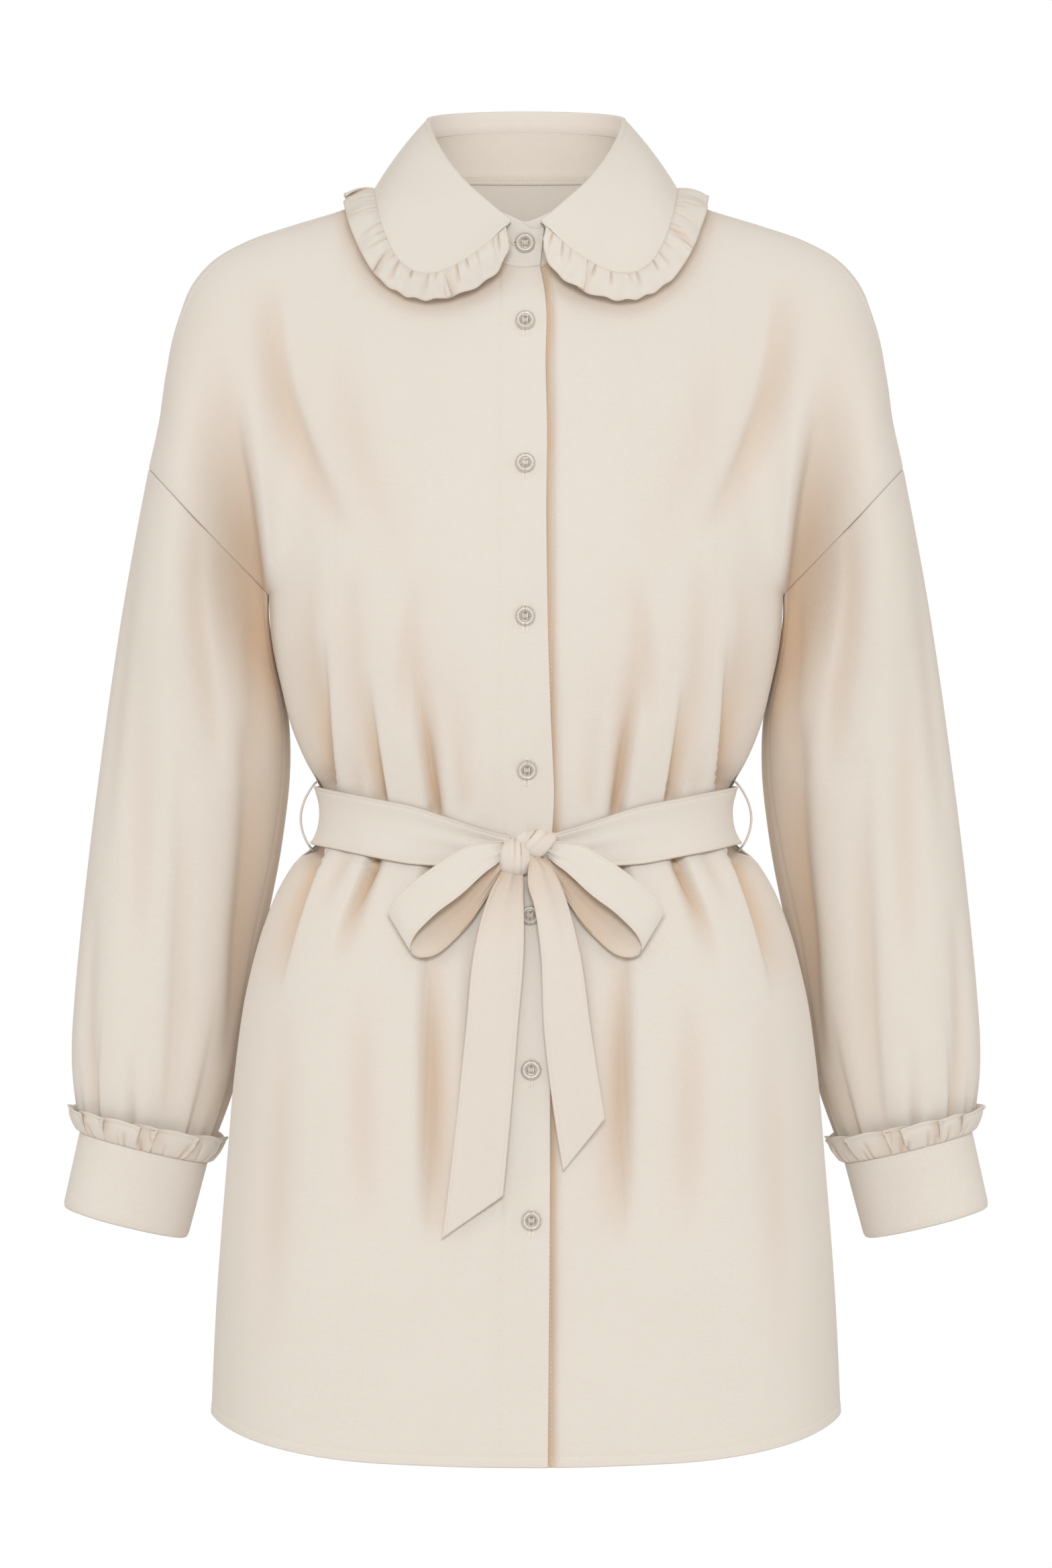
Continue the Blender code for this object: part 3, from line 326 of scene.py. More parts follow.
def body(angle, level):
    """The body at an angle from the centre front: level 0 is the hem, 1 the underarm, 2 the neckline or
    crest, and more than 2 goes on over the crest to the other side."""
    angle, level = np.broadcast_arrays(np.asarray(angle, float), np.asarray(level, float))
    angle = np.where(angle > 180, angle - 360, angle)
    share = np.where(np.abs(angle) <= 90, np.abs(angle), 180 - np.abs(angle)) / 90
    over = (level > 2) & (share >= NECK_SHARE)
    angle = np.where(over, np.sign(angle) * (180 - np.abs(angle)), angle)
    level = np.where(over, 4 - level, np.clip(level, 0, 2))
    foot = hem_z(angle)
    low = lower_body(angle, foot + (UNDERARM_Z - foot) * np.clip(level, 0, 1))
    high = upper_body(angle, np.clip(level - 1, 0, 1))
    return armpit(np.where((level > 1)[..., None], high, low))


def creased(points, creases):
    """Depth of a table's creases at points: along each crease's line the depth eases off from foot to tip, or
    swells and falls as a half sine, and across it falls as a bell curve with its own two widths."""
    x, z = np.abs(points[..., 0]), points[..., 2]
    depth = np.zeros(x.shape)
    for foot_x, foot_z, tip_x, tip_z, bow, right, left, inner, outer, spread, both_ends_fade in creases.rows:
        t = (z - foot_z) / (tip_z - foot_z)
        run = np.clip(t, 0, 1)
        off = x - (foot_x + (tip_x - foot_x) * run + bow * np.sin(np.pi * run))
        grown = 1 + spread * run
        along = np.sin(np.pi * run) if both_ends_fade else (1 - ease(run)) * ease(1 + t * 8)
        depth += np.where(points[..., 0] < 0, right, left) * along * bell(off, inner * grown, outer * grown)
    return depth


def lattice(across, along):
    """Two grids of one shape: the first changes from line to line, the second along the lines."""
    return np.meshgrid(across, along, indexing="ij")


def grid_normals(points, outward, closed=False):
    """Unit normals of a grid: the cross product of its two central differences, times 1 or -1."""
    if closed:
        points = np.concatenate([points[-1:], points, points[:1]])
    normals = outward * unit(np.cross(np.gradient(points, axis=0), np.gradient(points, axis=1)))
    return normals[1:-1] if closed else normals


def steps_of(points, axis):
    """Length along a grid's lines from their start, in mm."""
    step = np.linalg.norm(np.diff(points, axis=axis), axis=-1)
    start = np.zeros_like(np.take(step, [0], axis=axis))
    return np.concatenate([start, np.cumsum(step, axis=axis)], axis=axis)


def edge_distance(points, edge):
    """Distance of each grid point from the 'first' or 'last' line, or from the lines' 'start' or 'end'."""
    length = steps_of(points, 0 if edge in ("first", "last") else 1)
    if edge in ("last", "end"):
        length = (length[-1:] if edge == "last" else length[:, -1:]) - length
    return length


def rounded(off, depth, reach):
    """The fall of a rounded edge: a quarter circle over the reach, down to the depth at the edge itself."""
    return depth * (1 - np.sqrt(1 - (1 - np.clip(off / reach, 0, 1)) ** 2))


def rolled_in(points, normals, edge, depth=0.3, reach=1.1):
    """Turns an edge of a sheet in towards its seam by a quarter-round fall."""
    return points - normals * rounded(edge_distance(points, edge), depth, reach)[..., None]


def shell(name, points, normals, wall, closed=False, painted_shade=None):
    """A sheet with a wall: the points, the same points moved in along the normals by the wall, and a rounded
    rim between them, which is one more line half a wall in and half a wall out beyond the edge. Its last
    argument is the painted shade of each point, from 0 to 1."""
    across, along = points.shape[:2]
    wall = np.broadcast_to(np.asarray(wall, float), (across, along))[..., None]
    index = np.arange(across * along).reshape(across, along)
    wrap = np.vstack([index, index[:1]]) if closed else index
    quads = np.stack([wrap[:-1, :-1], wrap[1:, :-1], wrap[1:, 1:], wrap[:-1, 1:]], axis=-1).reshape(-1, 4)
    flat, up, behind = (a.reshape(-1, 3) for a in (points, normals, points - normals * wall))
    corners = flat[quads]
    facing = np.cross(corners[:, 2] - corners[:, 0], corners[:, 3] - corners[:, 1])
    if (facing * up[quads[:, 0]]).sum() < 0:
        quads = quads[:, ::-1]
    if closed:
        borders = [index[:, 0], index[:, -1]]
    else:
        borders = [np.concatenate([index[:, 0], index[-1, 1:], index[-2::-1, -1], index[0, -2:0:-1]])]
    made = 2 * len(flat)
    vertices, faces = [flat, behind], [quads, quads[:, ::-1] + len(flat)]
    for border in borders:
        i, j = np.divmod(border, along)
        near = index[i if closed else np.clip(i, 1, across - 2), np.clip(j, 1, along - 2)]
        away = flat[border] - flat[near]
        away -= up[border] * (away * up[border]).sum(axis=-1, keepdims=True)
        rim = (flat[border] + behind[border]) / 2 + unit(away) * wall.reshape(-1, 1)[border] / 2
        number = np.arange(len(border)) + made
        ahead, number_ahead = np.roll(border, -1), np.roll(number, -1)
        side = np.concatenate([
            np.stack([border, ahead, number_ahead, number], axis=-1),
            np.stack([number, number_ahead, ahead + len(flat), border + len(flat)], axis=-1),
        ])
        out_of = np.cross(flat[ahead[:1]] - flat[border[:1]], rim[:1] - flat[border[:1]])
        vertices.append(rim)
        faces.append(side if (out_of * away[:1]).sum() >= 0 else side[:, ::-1])
        made += len(border)
    uv = np.stack([steps_of(points, 0), steps_of(points, 1)], axis=-1).reshape(-1, 2) * MM
    source = np.concatenate([np.arange(len(flat))] * 2 + borders)
    painted_shade = np.zeros(len(flat)) if painted_shade is None else np.clip(painted_shade, 0, 1).reshape(-1)
    return mesh_piece(name, np.concatenate(vertices), np.concatenate(faces), uv[source], painted_shade[source])


def mesh_piece(name, vertices, faces, uv=None, painted_shade=None):
    """An object from points in mm, quads and a flat place for each point in metres, shaded smooth."""
    mesh = bpy.data.meshes.new(name)
    mesh.vertices.add(len(vertices))
    mesh.vertices.foreach_set("co", (np.asarray(vertices, float) * MM).astype(np.float32).ravel())
    mesh.loops.add(faces.size)
    mesh.loops.foreach_set("vertex_index", faces.astype(np.int32).ravel())
    mesh.polygons.add(len(faces))
    mesh.polygons.foreach_set("loop_start", np.arange(0, faces.size, 4, dtype=np.int32))
    mesh.update(calc_edges=True)
    uv = np.zeros((len(vertices), 2)) if uv is None else uv
    mesh.uv_layers.new(name="flat").uv.foreach_set("vector", uv[faces.ravel()].astype(np.float32).ravel())
    # the fold attribute carries painted shade into the cloth's colour
    if painted_shade is not None:
        mesh.attributes.new("fold", "FLOAT", "POINT").data.foreach_set("value", painted_shade.astype(np.float32))
    mesh.shade_smooth()
    made = bpy.data.objects.new(name, mesh)
    bpy.context.scene.collection.objects.link(made)
    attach(made, "root")
    return made


class Wire:
    """A socket whose arithmetic adds Math nodes to its material."""

    def __init__(self, paint, socket):
        self.paint, self.socket = paint, socket

    def maths(self, operation, *values):
        """One Math node on these values or wires."""
        return self.paint.node("ShaderNodeMath", {"operation": operation}, dict(enumerate(values)))

    def sine(self):
        """The sine of this value."""
        return self.maths("SINE", self)

    def __add__(self, other):
        return self.maths("ADD", self, other)

    def __sub__(self, other):
        return self.maths("SUBTRACT", self, other)

    def __rsub__(self, other):
        return self.maths("SUBTRACT", other, self)

    def __mul__(self, other):
        return self.maths("MULTIPLY", self, other)

    __radd__, __rmul__ = __add__, __mul__


class Paint:
    """The nodes of a material or a world, made one by one."""

    def __init__(self, owner):
        owner.use_nodes = True
        self.owner, self.tree = owner, owner.node_tree
        self.tree.nodes.clear()

    def node(self, kind, settings=None, sockets=None, output=0):
        """A node of a type, with its settings first, then the values or wires of its sockets; its output."""
        made = self.tree.nodes.new(kind)
        for key, value in (settings or {}).items():
            if key == "stops":
                ramp = made.color_ramp.elements
                while len(ramp) < len(value):
                    ramp.new(1.0)
                for stop, (position, colour) in zip(ramp, value):
                    stop.position, stop.color = position, colour
            else:
                setattr(made, key, value)
        for key, value in (sockets or {}).items():
            if isinstance(value, Wire):
                self.tree.links.new(value.socket, made.inputs[key])
            else:
                made.inputs[key].default_value = value
        return Wire(self, made.outputs[output]) if made.outputs else None

    def mix(self, factor, a, b):
        """A colour from a to b."""
        return self.node("ShaderNodeMix", {"data_type": "RGBA"}, {0: factor, 6: a, 7: b}, output=2)

    def finish(self, shader, kind="Material"):
        """Joins the last shader to the output, and returns what was painted."""
        self.node(f"ShaderNodeOutput{kind}", {}, {"Surface": shader})
        return self.owner


THREAD_PITCH = 0.00042  # metres between the cloth's threads
CLOTH_LIGHT = (0.79, 0.754, 0.708, 1)
CLOTH_DARK = (0.728, 0.686, 0.636, 1)
CLOTH_SHADE_COLOUR = (0.62, 0.455, 0.315, 1)  # painted warm shade deep in a fold, standing in for light that has gone through the cloth more than once
# how far the colour goes towards the painted shade colour where the fold attribute is full
FOLD_SHADE_TINT = 0.9
CREASE_FOR_FULL_SHADE = 9.0  # a crease this deep gets the full painted shade of a fold


def cloth_material():
    """Plain weave on the piece's own flat map: threads as two crossed sines, uneven thread thickness as noise
    stretched along warp and weft, slow patches of tone, and painted warm shade by the piece's fold attribute."""
    paint = Paint(bpy.data.materials.new("cloth"))
    flat = paint.node("ShaderNodeUVMap", {"uv_map": "flat"})

    def streaks(scale, detail, rough):
        """Noise with its own scale along each axis."""
        wide = paint.node("ShaderNodeMapping", {}, {"Vector": flat, "Scale": scale})
        return paint.node("ShaderNodeTexNoise", {"noise_dimensions": "2D"},
                          {"Vector": wide, "Scale": 1.0, "Detail": detail, "Roughness": rough})

    def threads(axis):
        """A sine across the threads that lie along one axis."""
        place = paint.node("ShaderNodeSeparateXYZ", {}, {"Vector": flat}, output=axis)
        return (place * (math.pi / THREAD_PITCH)).sine()

    weave = threads(0) * threads(1)
    weft = streaks((55, 1500, 1), 3.0, 0.6)
    warp = streaks((1500, 55, 1), 3.0, 0.6)
    patch = streaks((14, 14, 1), 3.0, 0.55)
    fleck = streaks((240, 700, 1), 2.0, 0.6)
    tone = weft * 0.42 + warp * 0.3 + patch * 0.42 + fleck * 0.2 + weave * 0.05 - 0.17
    # painted shade: the fold attribute, from 0 to 1, darkens and warms the colour
    deep = paint.node("ShaderNodeAttribute", {"attribute_name": "fold"}, output=2)
    height = weave * 0.5 + weft * 0.9 + warp * 0.7
    return paint.finish(paint.node("ShaderNodeBsdfPrincipled", {}, {
        "Base Color": paint.mix(deep * FOLD_SHADE_TINT, paint.mix(tone, CLOTH_DARK, CLOTH_LIGHT), CLOTH_SHADE_COLOUR),
        "Roughness": patch * 0.12 + 0.78,
        "Normal": paint.node("ShaderNodeBump", {}, {"Strength": 0.35, "Distance": 0.00012, "Height": height}),
        "IOR": 1.4, "Sheen Weight": 0.18, "Sheen Roughness": 0.45, "Sheen Tint": (1.0, 0.95, 0.88, 1),
    }))


cloth = cloth_material()
CLOTH_WALL = 0.6
FOLDED_WALL = 1.9 * CLOTH_WALL
PLACKET = 27.0  # from a front's edge to its stitching
PLACKET_RISE = 0.3
PLACKET_DIP = 0.42  # along its stitching
UNDER_DEPTH = 2.0  # how far the left front passes behind the right one
EDGE_SWELL = 0.9  # the right front's edge stands out between buttons
BUTTON_PITCH = 87.5
HEM_WIDTH = 5.4
HEM_RISE = 0.28
HEM_DIP = 0.3  # along its stitching
HEM_ROWS = (0, 0.5, 1.2, 2.6, 4.2, 5.0, HEM_WIDTH, 5.8, 6.6)  # heights of a panel's lowest rows over its edge
PANEL_ROWS = 90
UPPER_ROWS = 60
# A front's columns near its edge, as distances from it. Past COLUMN_TURN, columns are shares of the rest.
EDGE_PLACES = (0, 0.35, 0.8, 2, 5, 8, 12, 16, 20, 24, 26.3, PLACKET, 27.7, 29.5, 32, 35, 38.5)
COLUMN_TURN = 42.0
SIDE_PLACES = (0.991, 0.9955, 0.9985)  # the last columns before a side seam, as shares of the way to it


def edge_x(z):
    """How far a front's edge lies past the centre at a height; the neckline's value above it."""
    return EDGE.at(np.minimum(z, EDGE["z"].max()))[0]


def front_angle(column, level):
    """Angle of a front's column. Up to COLUMN_TURN, a column is its distance from the front's edge; beyond,
    it is COLUMN_TURN and a share of the way from there to the side seam. Above the underarm the edge's own
    swerves fade out over those columns."""
    foot = hem_z(0.0)
    z = foot + (UNDERARM_Z - foot) * np.clip(level, 0, 1)
    half = BODY.at(z, "half_width")[0]
    swerve = edge_x(UNDERARM_Z + (NECKLINE[3] - UNDERARM_Z) * np.clip(level - 1, 0, 1)) - edge_x(UNDERARM_Z)
    flat = np.minimum(column, COLUMN_TURN)
    near = np.degrees(np.arcsin((flat - edge_x(z) - swerve * (1 - flat / COLUMN_TURN)) / half))
    return near + (90 - near) * np.clip(column - COLUMN_TURN, 0, 1)


def shoulder_seam(angle):
    """The level of the shoulder seam in front: it runs just in front of the crest."""
    share = np.abs(angle) / 90
    return 2 - SEAM_LEAD * ease((share - NECK_SHARE) / 0.12) * (1 - 0.75 * ease((share - 0.6) / 0.4))


def panel_levels():
    """Rows of a panel: close together at the hem, even up to the underarm, and even from there to the top."""
    reach = UNDERARM_Z - HEM_FRONT_Z
    low = np.linspace(9 / reach, 1, PANEL_ROWS)
    top = np.concatenate([np.linspace(0, 1, UPPER_ROWS)[1:-1], [0.9925, 0.997, 1.0]])
    return np.concatenate([np.array(HEM_ROWS) / reach, low, 1 + top])


def hem_finish(points, normals):
    """A turned hem: it stands out a little up to its stitching, where the cloth is drawn in."""
    off = edge_distance(points, "start")
    fold = HEM_RISE * (1 - ease((off - HEM_WIDTH + 0.6) / 1.4)) - HEM_DIP * bell(off - HEM_WIDTH, 0.6)
    return points + normals * fold[..., None], np.where(off < HEM_WIDTH + 0.2, FOLDED_WALL, CLOTH_WALL)


def front_panel(name, side, under):
    """One front: the body's surface over its columns and rows, drawn in by its creases; the placket stands
    out up to its stitching, and the under front passes behind the other. Its creases and the armpit get
    painted shade, and the under front gets a painted shadow beside the other front's edge."""
    nearest = front_angle(np.array(COLUMN_TURN), np.array(1.0))
    at_neck = float((90 * NECK_SHARE - nearest) / (90 - nearest))
    far = [np.linspace(0, at_neck, 26)[:-1], np.linspace(at_neck, 0.985, 80), SIDE_PLACES]
    c, v = lattice(np.concatenate([EDGE_PLACES, COLUMN_TURN + np.concatenate(far)]), panel_levels())
    angle = front_angle(c, v)
    points = body(side * angle, np.where(v > 1, 1 + (v - 1) * (shoulder_seam(angle) - 1), v))
    normals = grid_normals(points, side)
    z = points[..., 2]
    crease = creased(points, FRONT_CREASES) * ease((c - 4) / 24)
    band = PLACKET_RISE * (1 - ease((c - PLACKET + 0.4) / 1.2)) - PLACKET_DIP * bell(c - PLACKET, 0.8)
    past = side * points[..., 0] - edge_x(z)
    if under:
        tuck = UNDER_DEPTH * (1 - ease((past - 0.5) / 8.0))
    else:
        tuck = -EDGE_SWELL * (1 - ease(c / 13)) * np.sin(np.pi * (z + 86) / BUTTON_PITCH) ** 2
    points = points + normals * (band - crease - tuck)[..., None]
    normals = grid_normals(points, side)
    for edge in ("last", "end"):
        points = rolled_in(points, normals, edge)
    points, wall = hem_finish(points, normals)
    wall = np.where(c <= PLACKET, FOLDED_WALL, wall)
    normals = grid_normals(points, side)
    # painted shade in the creases and in the crease under the arm
    painted_shade = crease / CREASE_FOR_FULL_SHADE + armpit_shade(points)
    if under:
        # painted shadow on the under front beside the right front's edge
        painted_shade = painted_shade + 1.2 * bell(side * points[..., 0] - edge_x(z) - 0.6, 3.0, 3.6)
    return shell(name, points, normals, wall, painted_shade=painted_shade), points, normals


def dress(piece, material, slot, *nodes):
    """Gives a piece its material, and hides the model's parts for the nodes that it stands for. The slot is
    not used.
    """
    piece.data.materials.append(material)
    if nodes:
        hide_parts(*nodes)
    return piece


front_right, right_grid, right_up = front_panel("right_front", -1, False)
front_left, left_grid, left_up = front_panel("left_front", 1, True)
for piece, node in ((front_right, "front_right"), (front_left, "front_left")):
    dress(piece, cloth, "cloth", node)


def back_panel(name):
    """The back: the body's surface from one side seam to the other, over the crest to the shoulder seams,
    with painted shade in its creases and under the arm.
    """
    half = [np.linspace(0, NECK_SHARE, 40)[:-1], np.linspace(NECK_SHARE, 0.985, 66), SIDE_PLACES]
    angle = 180 - 90 * np.concatenate(half)[::-1]
    a, v = lattice(np.concatenate([angle, (360 - angle)[-2::-1]]), panel_levels())
    across = 180 - np.abs(a - 360 * (a > 180))
    end = np.where(across / 90 > NECK_SHARE - 0.001, 4 - shoulder_seam(across) - 0.0006, 2)
    points = body(a, np.where(v > 1, 1 + (v - 1) * (end - 1), v))
    crease = creased(points, BACK_CREASES)
    points = points - grid_normals(points, 1) * crease[..., None]
    normals = grid_normals(points, 1)
    for edge in ("first", "last", "end"):
        points = rolled_in(points, normals, edge)
    points, wall = hem_finish(points, normals)
    normals = grid_normals(points, 1)
    painted_shade = crease / CREASE_FOR_FULL_SHADE + armpit_shade(points)
    return shell(name, points, normals, wall, painted_shade=painted_shade), points, normals


back, back_grid, back_up = back_panel("back_panel")
dress(back, cloth, "cloth", "back")


def thread_material():
    """Sewing thread: a soft sheen and a fine grain between two creams."""
    paint = Paint(bpy.data.materials.new("thread"))
    place = paint.node("ShaderNodeTexCoord", output="Object")
    grain = paint.node("ShaderNodeTexNoise", {}, {"Vector": place, "Scale": 900.0})
    return paint.finish(paint.node("ShaderNodeBsdfPrincipled", {}, {
        "Base Color": paint.mix(grain, (0.78, 0.71, 0.62, 1), (0.90, 0.84, 0.76, 1)),
        "Roughness": 0.6, "Sheen Weight": 0.15,
    }))


thread = thread_material()


STITCH_PITCH = 2.7
STITCH_LENGTH = 2.0


def stitches(name, lines, radius=0.17, rise=0.12):
    """Straight stitches along lines on cloth. Each is a five-sided bar whose radius swells by the root of a
    half sine, and whose ends dip into the cloth by the square of the distance from its middle."""
    vertices = []
    t = np.linspace(0, 1, 4)
    turn = np.radians(np.arange(5) * 72)
    thick = radius * np.maximum(np.sin(np.pi * t), 0.12) ** 0.5
    for points, ups in lines:
        gone = np.concatenate([[0], np.cumsum(np.linalg.norm(np.diff(points, axis=0), axis=1))])
        count = int(gone[-1] / STITCH_PITCH)
        at = ((np.arange(count) + 0.5) * gone[-1] / count)[:, None] + STITCH_LENGTH * (t - 0.5)
        middle, up = (np.stack([np.interp(at, gone, line) for line in a.T], axis=-1) for a in (points, ups))
        up = unit(up)
        aside = unit(np.cross(unit(middle[:, -1:] - middle[:, :1]), up))
        middle = middle + up * (rise - 0.3 * (2 * t - 1) ** 2)[:, None]
        ring_out = aside[:, :, None] * np.cos(turn)[:, None] + up[:, :, None] * np.sin(turn)[:, None]
        vertices.append((middle[:, :, None] + ring_out * thick[:, None, None]).reshape(-1, 3))
    vertices = np.concatenate(vertices)
    k = np.arange(5)
    ring_quads = np.stack([k, (k + 1) % 5, (k + 1) % 5 + 5, k + 5], axis=-1)
    quads = (ring_quads[None] + 5 * np.arange(3)[:, None, None]).reshape(-1, 4)
    caps = np.array([[3, 2, 1, 0], [0, 4, 3, 3], [15, 16, 17, 18], [18, 19, 15, 15]])
    first = np.arange(len(vertices) // 20)[:, None, None] * 20
    made = mesh_piece(name, vertices, (first + np.concatenate([quads, caps])[None]).reshape(-1, 4))
    return dress(made, thread, "cloth")


placket_column = EDGE_PLACES.index(PLACKET)
hem_row = HEM_ROWS.index(HEM_WIDTH)
fronts = ((right_grid, right_up), (left_grid, left_up))
stitches("front_stitches", [(grid[placket_column, 2:-2], up[placket_column, 2:-2]) for grid, up in fronts])
panels = fronts + ((back_grid, back_up),)
stitches("hem_stitches", [(grid[1:-2, hem_row], up[1:-2, hem_row]) for grid, up in panels])

# ================================================================ sleeves
# Each sleeve is one wide tube of the same cloth with a seam under the arm. Its head is sewn to the dropped
# armhole, it hangs forward a little at the elbow, and its foot is gathered into the cuff.
SLEEVE = Table(
    "outer_x outer_z inner_x inner_z y half_depth",
    ARMHOLE,
    (234.5, -216, 153.1, -262, 11, 59),
    (241, -249, 149.8, -284, 19, 57),
    (248, -290, 143.4, -312, 27, 55),
    (255, -337, 142, -348, 33, 54),
    (261.5, -385, 147, -393, 37, 54),
    (268.5, -445, 158.5, -453, 40, 53),
    (272.5, -488, 166, -498, 41, 52),
    (274, -514, 172.5, -528, 40, 50),
    (273.5, -536, 179.5, -552, 39, 46),
    (271.5, -552, 185.5, -569, 38, 40),
    (269, -567, 192, -586, 37, 34),
)
# Creases along a sleeve: where along it each starts and ends as a share of its length, its turn round the
# sleeve there in degrees from the outside (90 is the front, 180 under the arm), depth, and half widths.
SLEEVE_CREASES = (
    (-0.05, 0.42, 82, 107, 4.4, 15, 8),
    (0.28, 0.86, 124, 152, 6, 10, 18),
    (0.20, 0.78, 46, 80, 3.2, 12, 12),
    (0.36, 1.05, 84, 113, 3.4, 4.5, 13),
    (0.05, 0.55, 22, 34, 2.4, 12, 12),
    (0.60, 1.04, 30, 44, 3, 10, 9),
    (0, 0.40, 140, 128, 2.6, 9, 12),
    (0.10, 0.70, 212, 230, 4.6, 13, 8),
    (0.35, 1.02, 205, 214, 3.6, 12, 9),
    (0.30, 0.98, 262, 240, 4.2, 7, 14),
    (-0.02, 0.48, 286, 262, 4, 9, 15),
    (0.40, 1.04, 296, 284, 3.6, 12, 7),
    (0.12, 0.80, 330, 318, 3, 13, 11),
    (0.55, 1.05, 338, 332, 3, 9, 12),
)
# Gathers at a sleeve's foot: turn, length up the sleeve in mm, depth, and half widths in degrees before and
# after the turn.
SLEEVE_GATHERS = (
    (8, 46, 2.4, 3.5, 4.5), (26, 60, 2.6, 4.5, 3), (37, 26, 1.6, 3, 3), (48, 96, 4.6, 6.5, 2.2),
    (62, 34, 1.8, 3, 4), (80, 84, 4.8, 2.4, 4.6), (91, 26, 1.6, 3, 3), (101, 44, 3.4, 4.5, 4),
    (116, 30, 1.8, 4, 3), (131, 105, 3.8, 2.4, 9), (150, 40, 2.2, 4, 4), (166, 66, 3.2, 3, 6),
    (186, 38, 2, 5, 4), (200, 78, 4.2, 3, 6), (217, 32, 1.6, 4, 4), (230, 70, 3.8, 6, 2.6),
    (246, 30, 1.6, 5, 4), (259, 92, 4.4, 2.6, 6), (274, 36, 1.8, 4, 4), (290, 64, 3.6, 6, 3),
    (305, 30, 1.6, 5, 4), (318, 80, 4, 3, 6), (334, 34, 1.8, 4, 4), (348, 54, 2.8, 5, 3),
)
# How much deeper the left sleeve's creases are, and how much further round its creases and gathers lie.
LEFT_SLEEVE = (1.12, 3.6, 4.8)
UNDERARM_SEAM = 160.0
SHADE_TURN = 165.0  # the middle of the painted shade under the arm
SIDES = (("right", -1), ("left", 1))


def sleeve_run():
    """Lengths along the middle of a sleeve from its armhole to each of its rings."""
    outer_x, outer_z, inner_x, inner_z, y, _ = SLEEVE.rows.T
    middle = np.stack([(outer_x + inner_x) / 2, (outer_z + inner_z) / 2, y])
    return np.concatenate([[0], np.cumsum(np.linalg.norm(np.diff(middle), axis=0))])


SLEEVE_RUN = sleeve_run()
SLEEVE_LENGTH = SLEEVE_RUN[-1]


def ring_point(sizes, turn, side, shrink=1.0):
    """A point of an oval ring given by its two ends seen from the front, its depth and half its thickness,
    shrunk towards its middle."""
    outer_x, outer_z, inner_x, inner_z, y, half_depth = sizes
    reach = np.cos(np.radians(turn)) * shrink
    x = (outer_x + inner_x) / 2 + (outer_x - inner_x) / 2 * reach
    z = (outer_z + inner_z) / 2 + (outer_z - inner_z) / 2 * reach
    return np.stack([side * x, y - half_depth * shrink * np.sin(np.radians(turn)), z], axis=-1)


def turned(a, b):
    """The difference of two turns, from -180 to 180."""
    return (a - b + 180) % 360 - 180


def sleeve(turn, along, side, drawn=True):
    """A sleeve at a turn and a length from the armhole, and how far it is drawn in: an oval from the rings,
    shrunk towards its middle by the creases, each a half sine along the sleeve and a bell curve across, and
    by the gathers at its foot."""
    at = np.clip(along, 0, SLEEVE_LENGTH)
    sizes = [smooth_through(at, SLEEVE_RUN, column) for column in SLEEVE.rows.T]
    drawn_in = np.zeros(np.broadcast(turn, along).shape)
    if drawn:
        deeper, crease_turn, gather_turn = (1, 0, 0) if side < 0 else LEFT_SLEEVE
        for start, end, from_turn, to_turn, depth, before, after in SLEEVE_CREASES:
            t = np.clip((at / SLEEVE_LENGTH - start) / (end - start), 0, 1)
            off = turned(turn, from_turn + (to_turn - from_turn) * t + crease_turn)
            drawn_in += depth * deeper * np.sin(np.pi * t) ** 0.8 * bell(off, before, after)
        for at_turn, reach, depth, before, after in SLEEVE_GATHERS:
            near = np.clip(1 - (SLEEVE_LENGTH - at) / reach, 0, 1)
            spread = 2.1 - 1.1 * near
            off = turned(turn, at_turn + gather_turn)
            drawn_in += depth * near**1.3 * bell(off, before * spread, after * spread)
        drawn_in += 0.5 * bell(turned(turn, UNDERARM_SEAM), 0.9)
    return armpit(ring_point(sizes, turn, side, 1 - drawn_in / sizes[-1])), drawn_in


def sleeve_piece(name, side):
    """A sleeve as a closed sheet. Its first rows pass straight on under the body's edge, dropped in by a
    quarter round. Its creases and the armpit get painted shade, and so does the underside of the arm, by a
    bell curve."""
    head = [-2.6, -1.4, -0.5, 0.1, 0.5, 1.0, 1.6, 2.4, 4.0]
    foot = [SLEEVE_LENGTH - 1.6, SLEEVE_LENGTH - 0.7, SLEEVE_LENGTH - 0.1]
    along = np.concatenate([head, np.linspace(7, SLEEVE_LENGTH - 3, 96), foot])
    a, t = lattice(np.linspace(0, 360, 221)[:-1], along)
    points, crease = sleeve(a, t, side)
    outer_x, outer_z, inner_x, inner_z = ARMHOLE[:4]
    seam = unit(np.array([side * (outer_x - inner_x), 0.0, outer_z - inner_z]))
    points = points + side * np.cross([0.0, 1.0, 0.0], seam) * np.minimum(t, 0)[..., None]
    drop = rounded(t, 0.28, 1.1) + 0.75 * ease(-t / 0.5)
    points = points - grid_normals(points, side, closed=True) * drop[..., None]
    # painted shade under the arm
    under_arm_shade = 0.5 * bell(turned(a, SHADE_TURN), 32, 40) * ease(t / 60) * (1 - ease((t - 330) / 60))
    painted_shade = np.clip(crease - 1.5, 0, 9) / 10 + armpit_shade(points) + under_arm_shade
    return shell(name, points, grid_normals(points, side, closed=True), CLOTH_WALL, closed=True, painted_shade=painted_shade)


for hand, side in SIDES:
    piece = dress(sleeve_piece(f"{hand}_sleeve", side), cloth, "cloth", f"sleeve_{hand}")

# ================================================================ cuffs and their frills
# A cuff is a deep plain band of two layers. A frill of one narrow-hemmed strip, gathered to a little over
# half its length, is sewn in between the cuff and the sleeve and stands up round the foot of the sleeve.
CUFF_TOP = SLEEVE.rows[-1]
CUFF_FOOT = (279.0, -612, 204.0, -631, 37, 33)
CUFF_DEPTH = 46.1
CUFF_WALL = 2.0
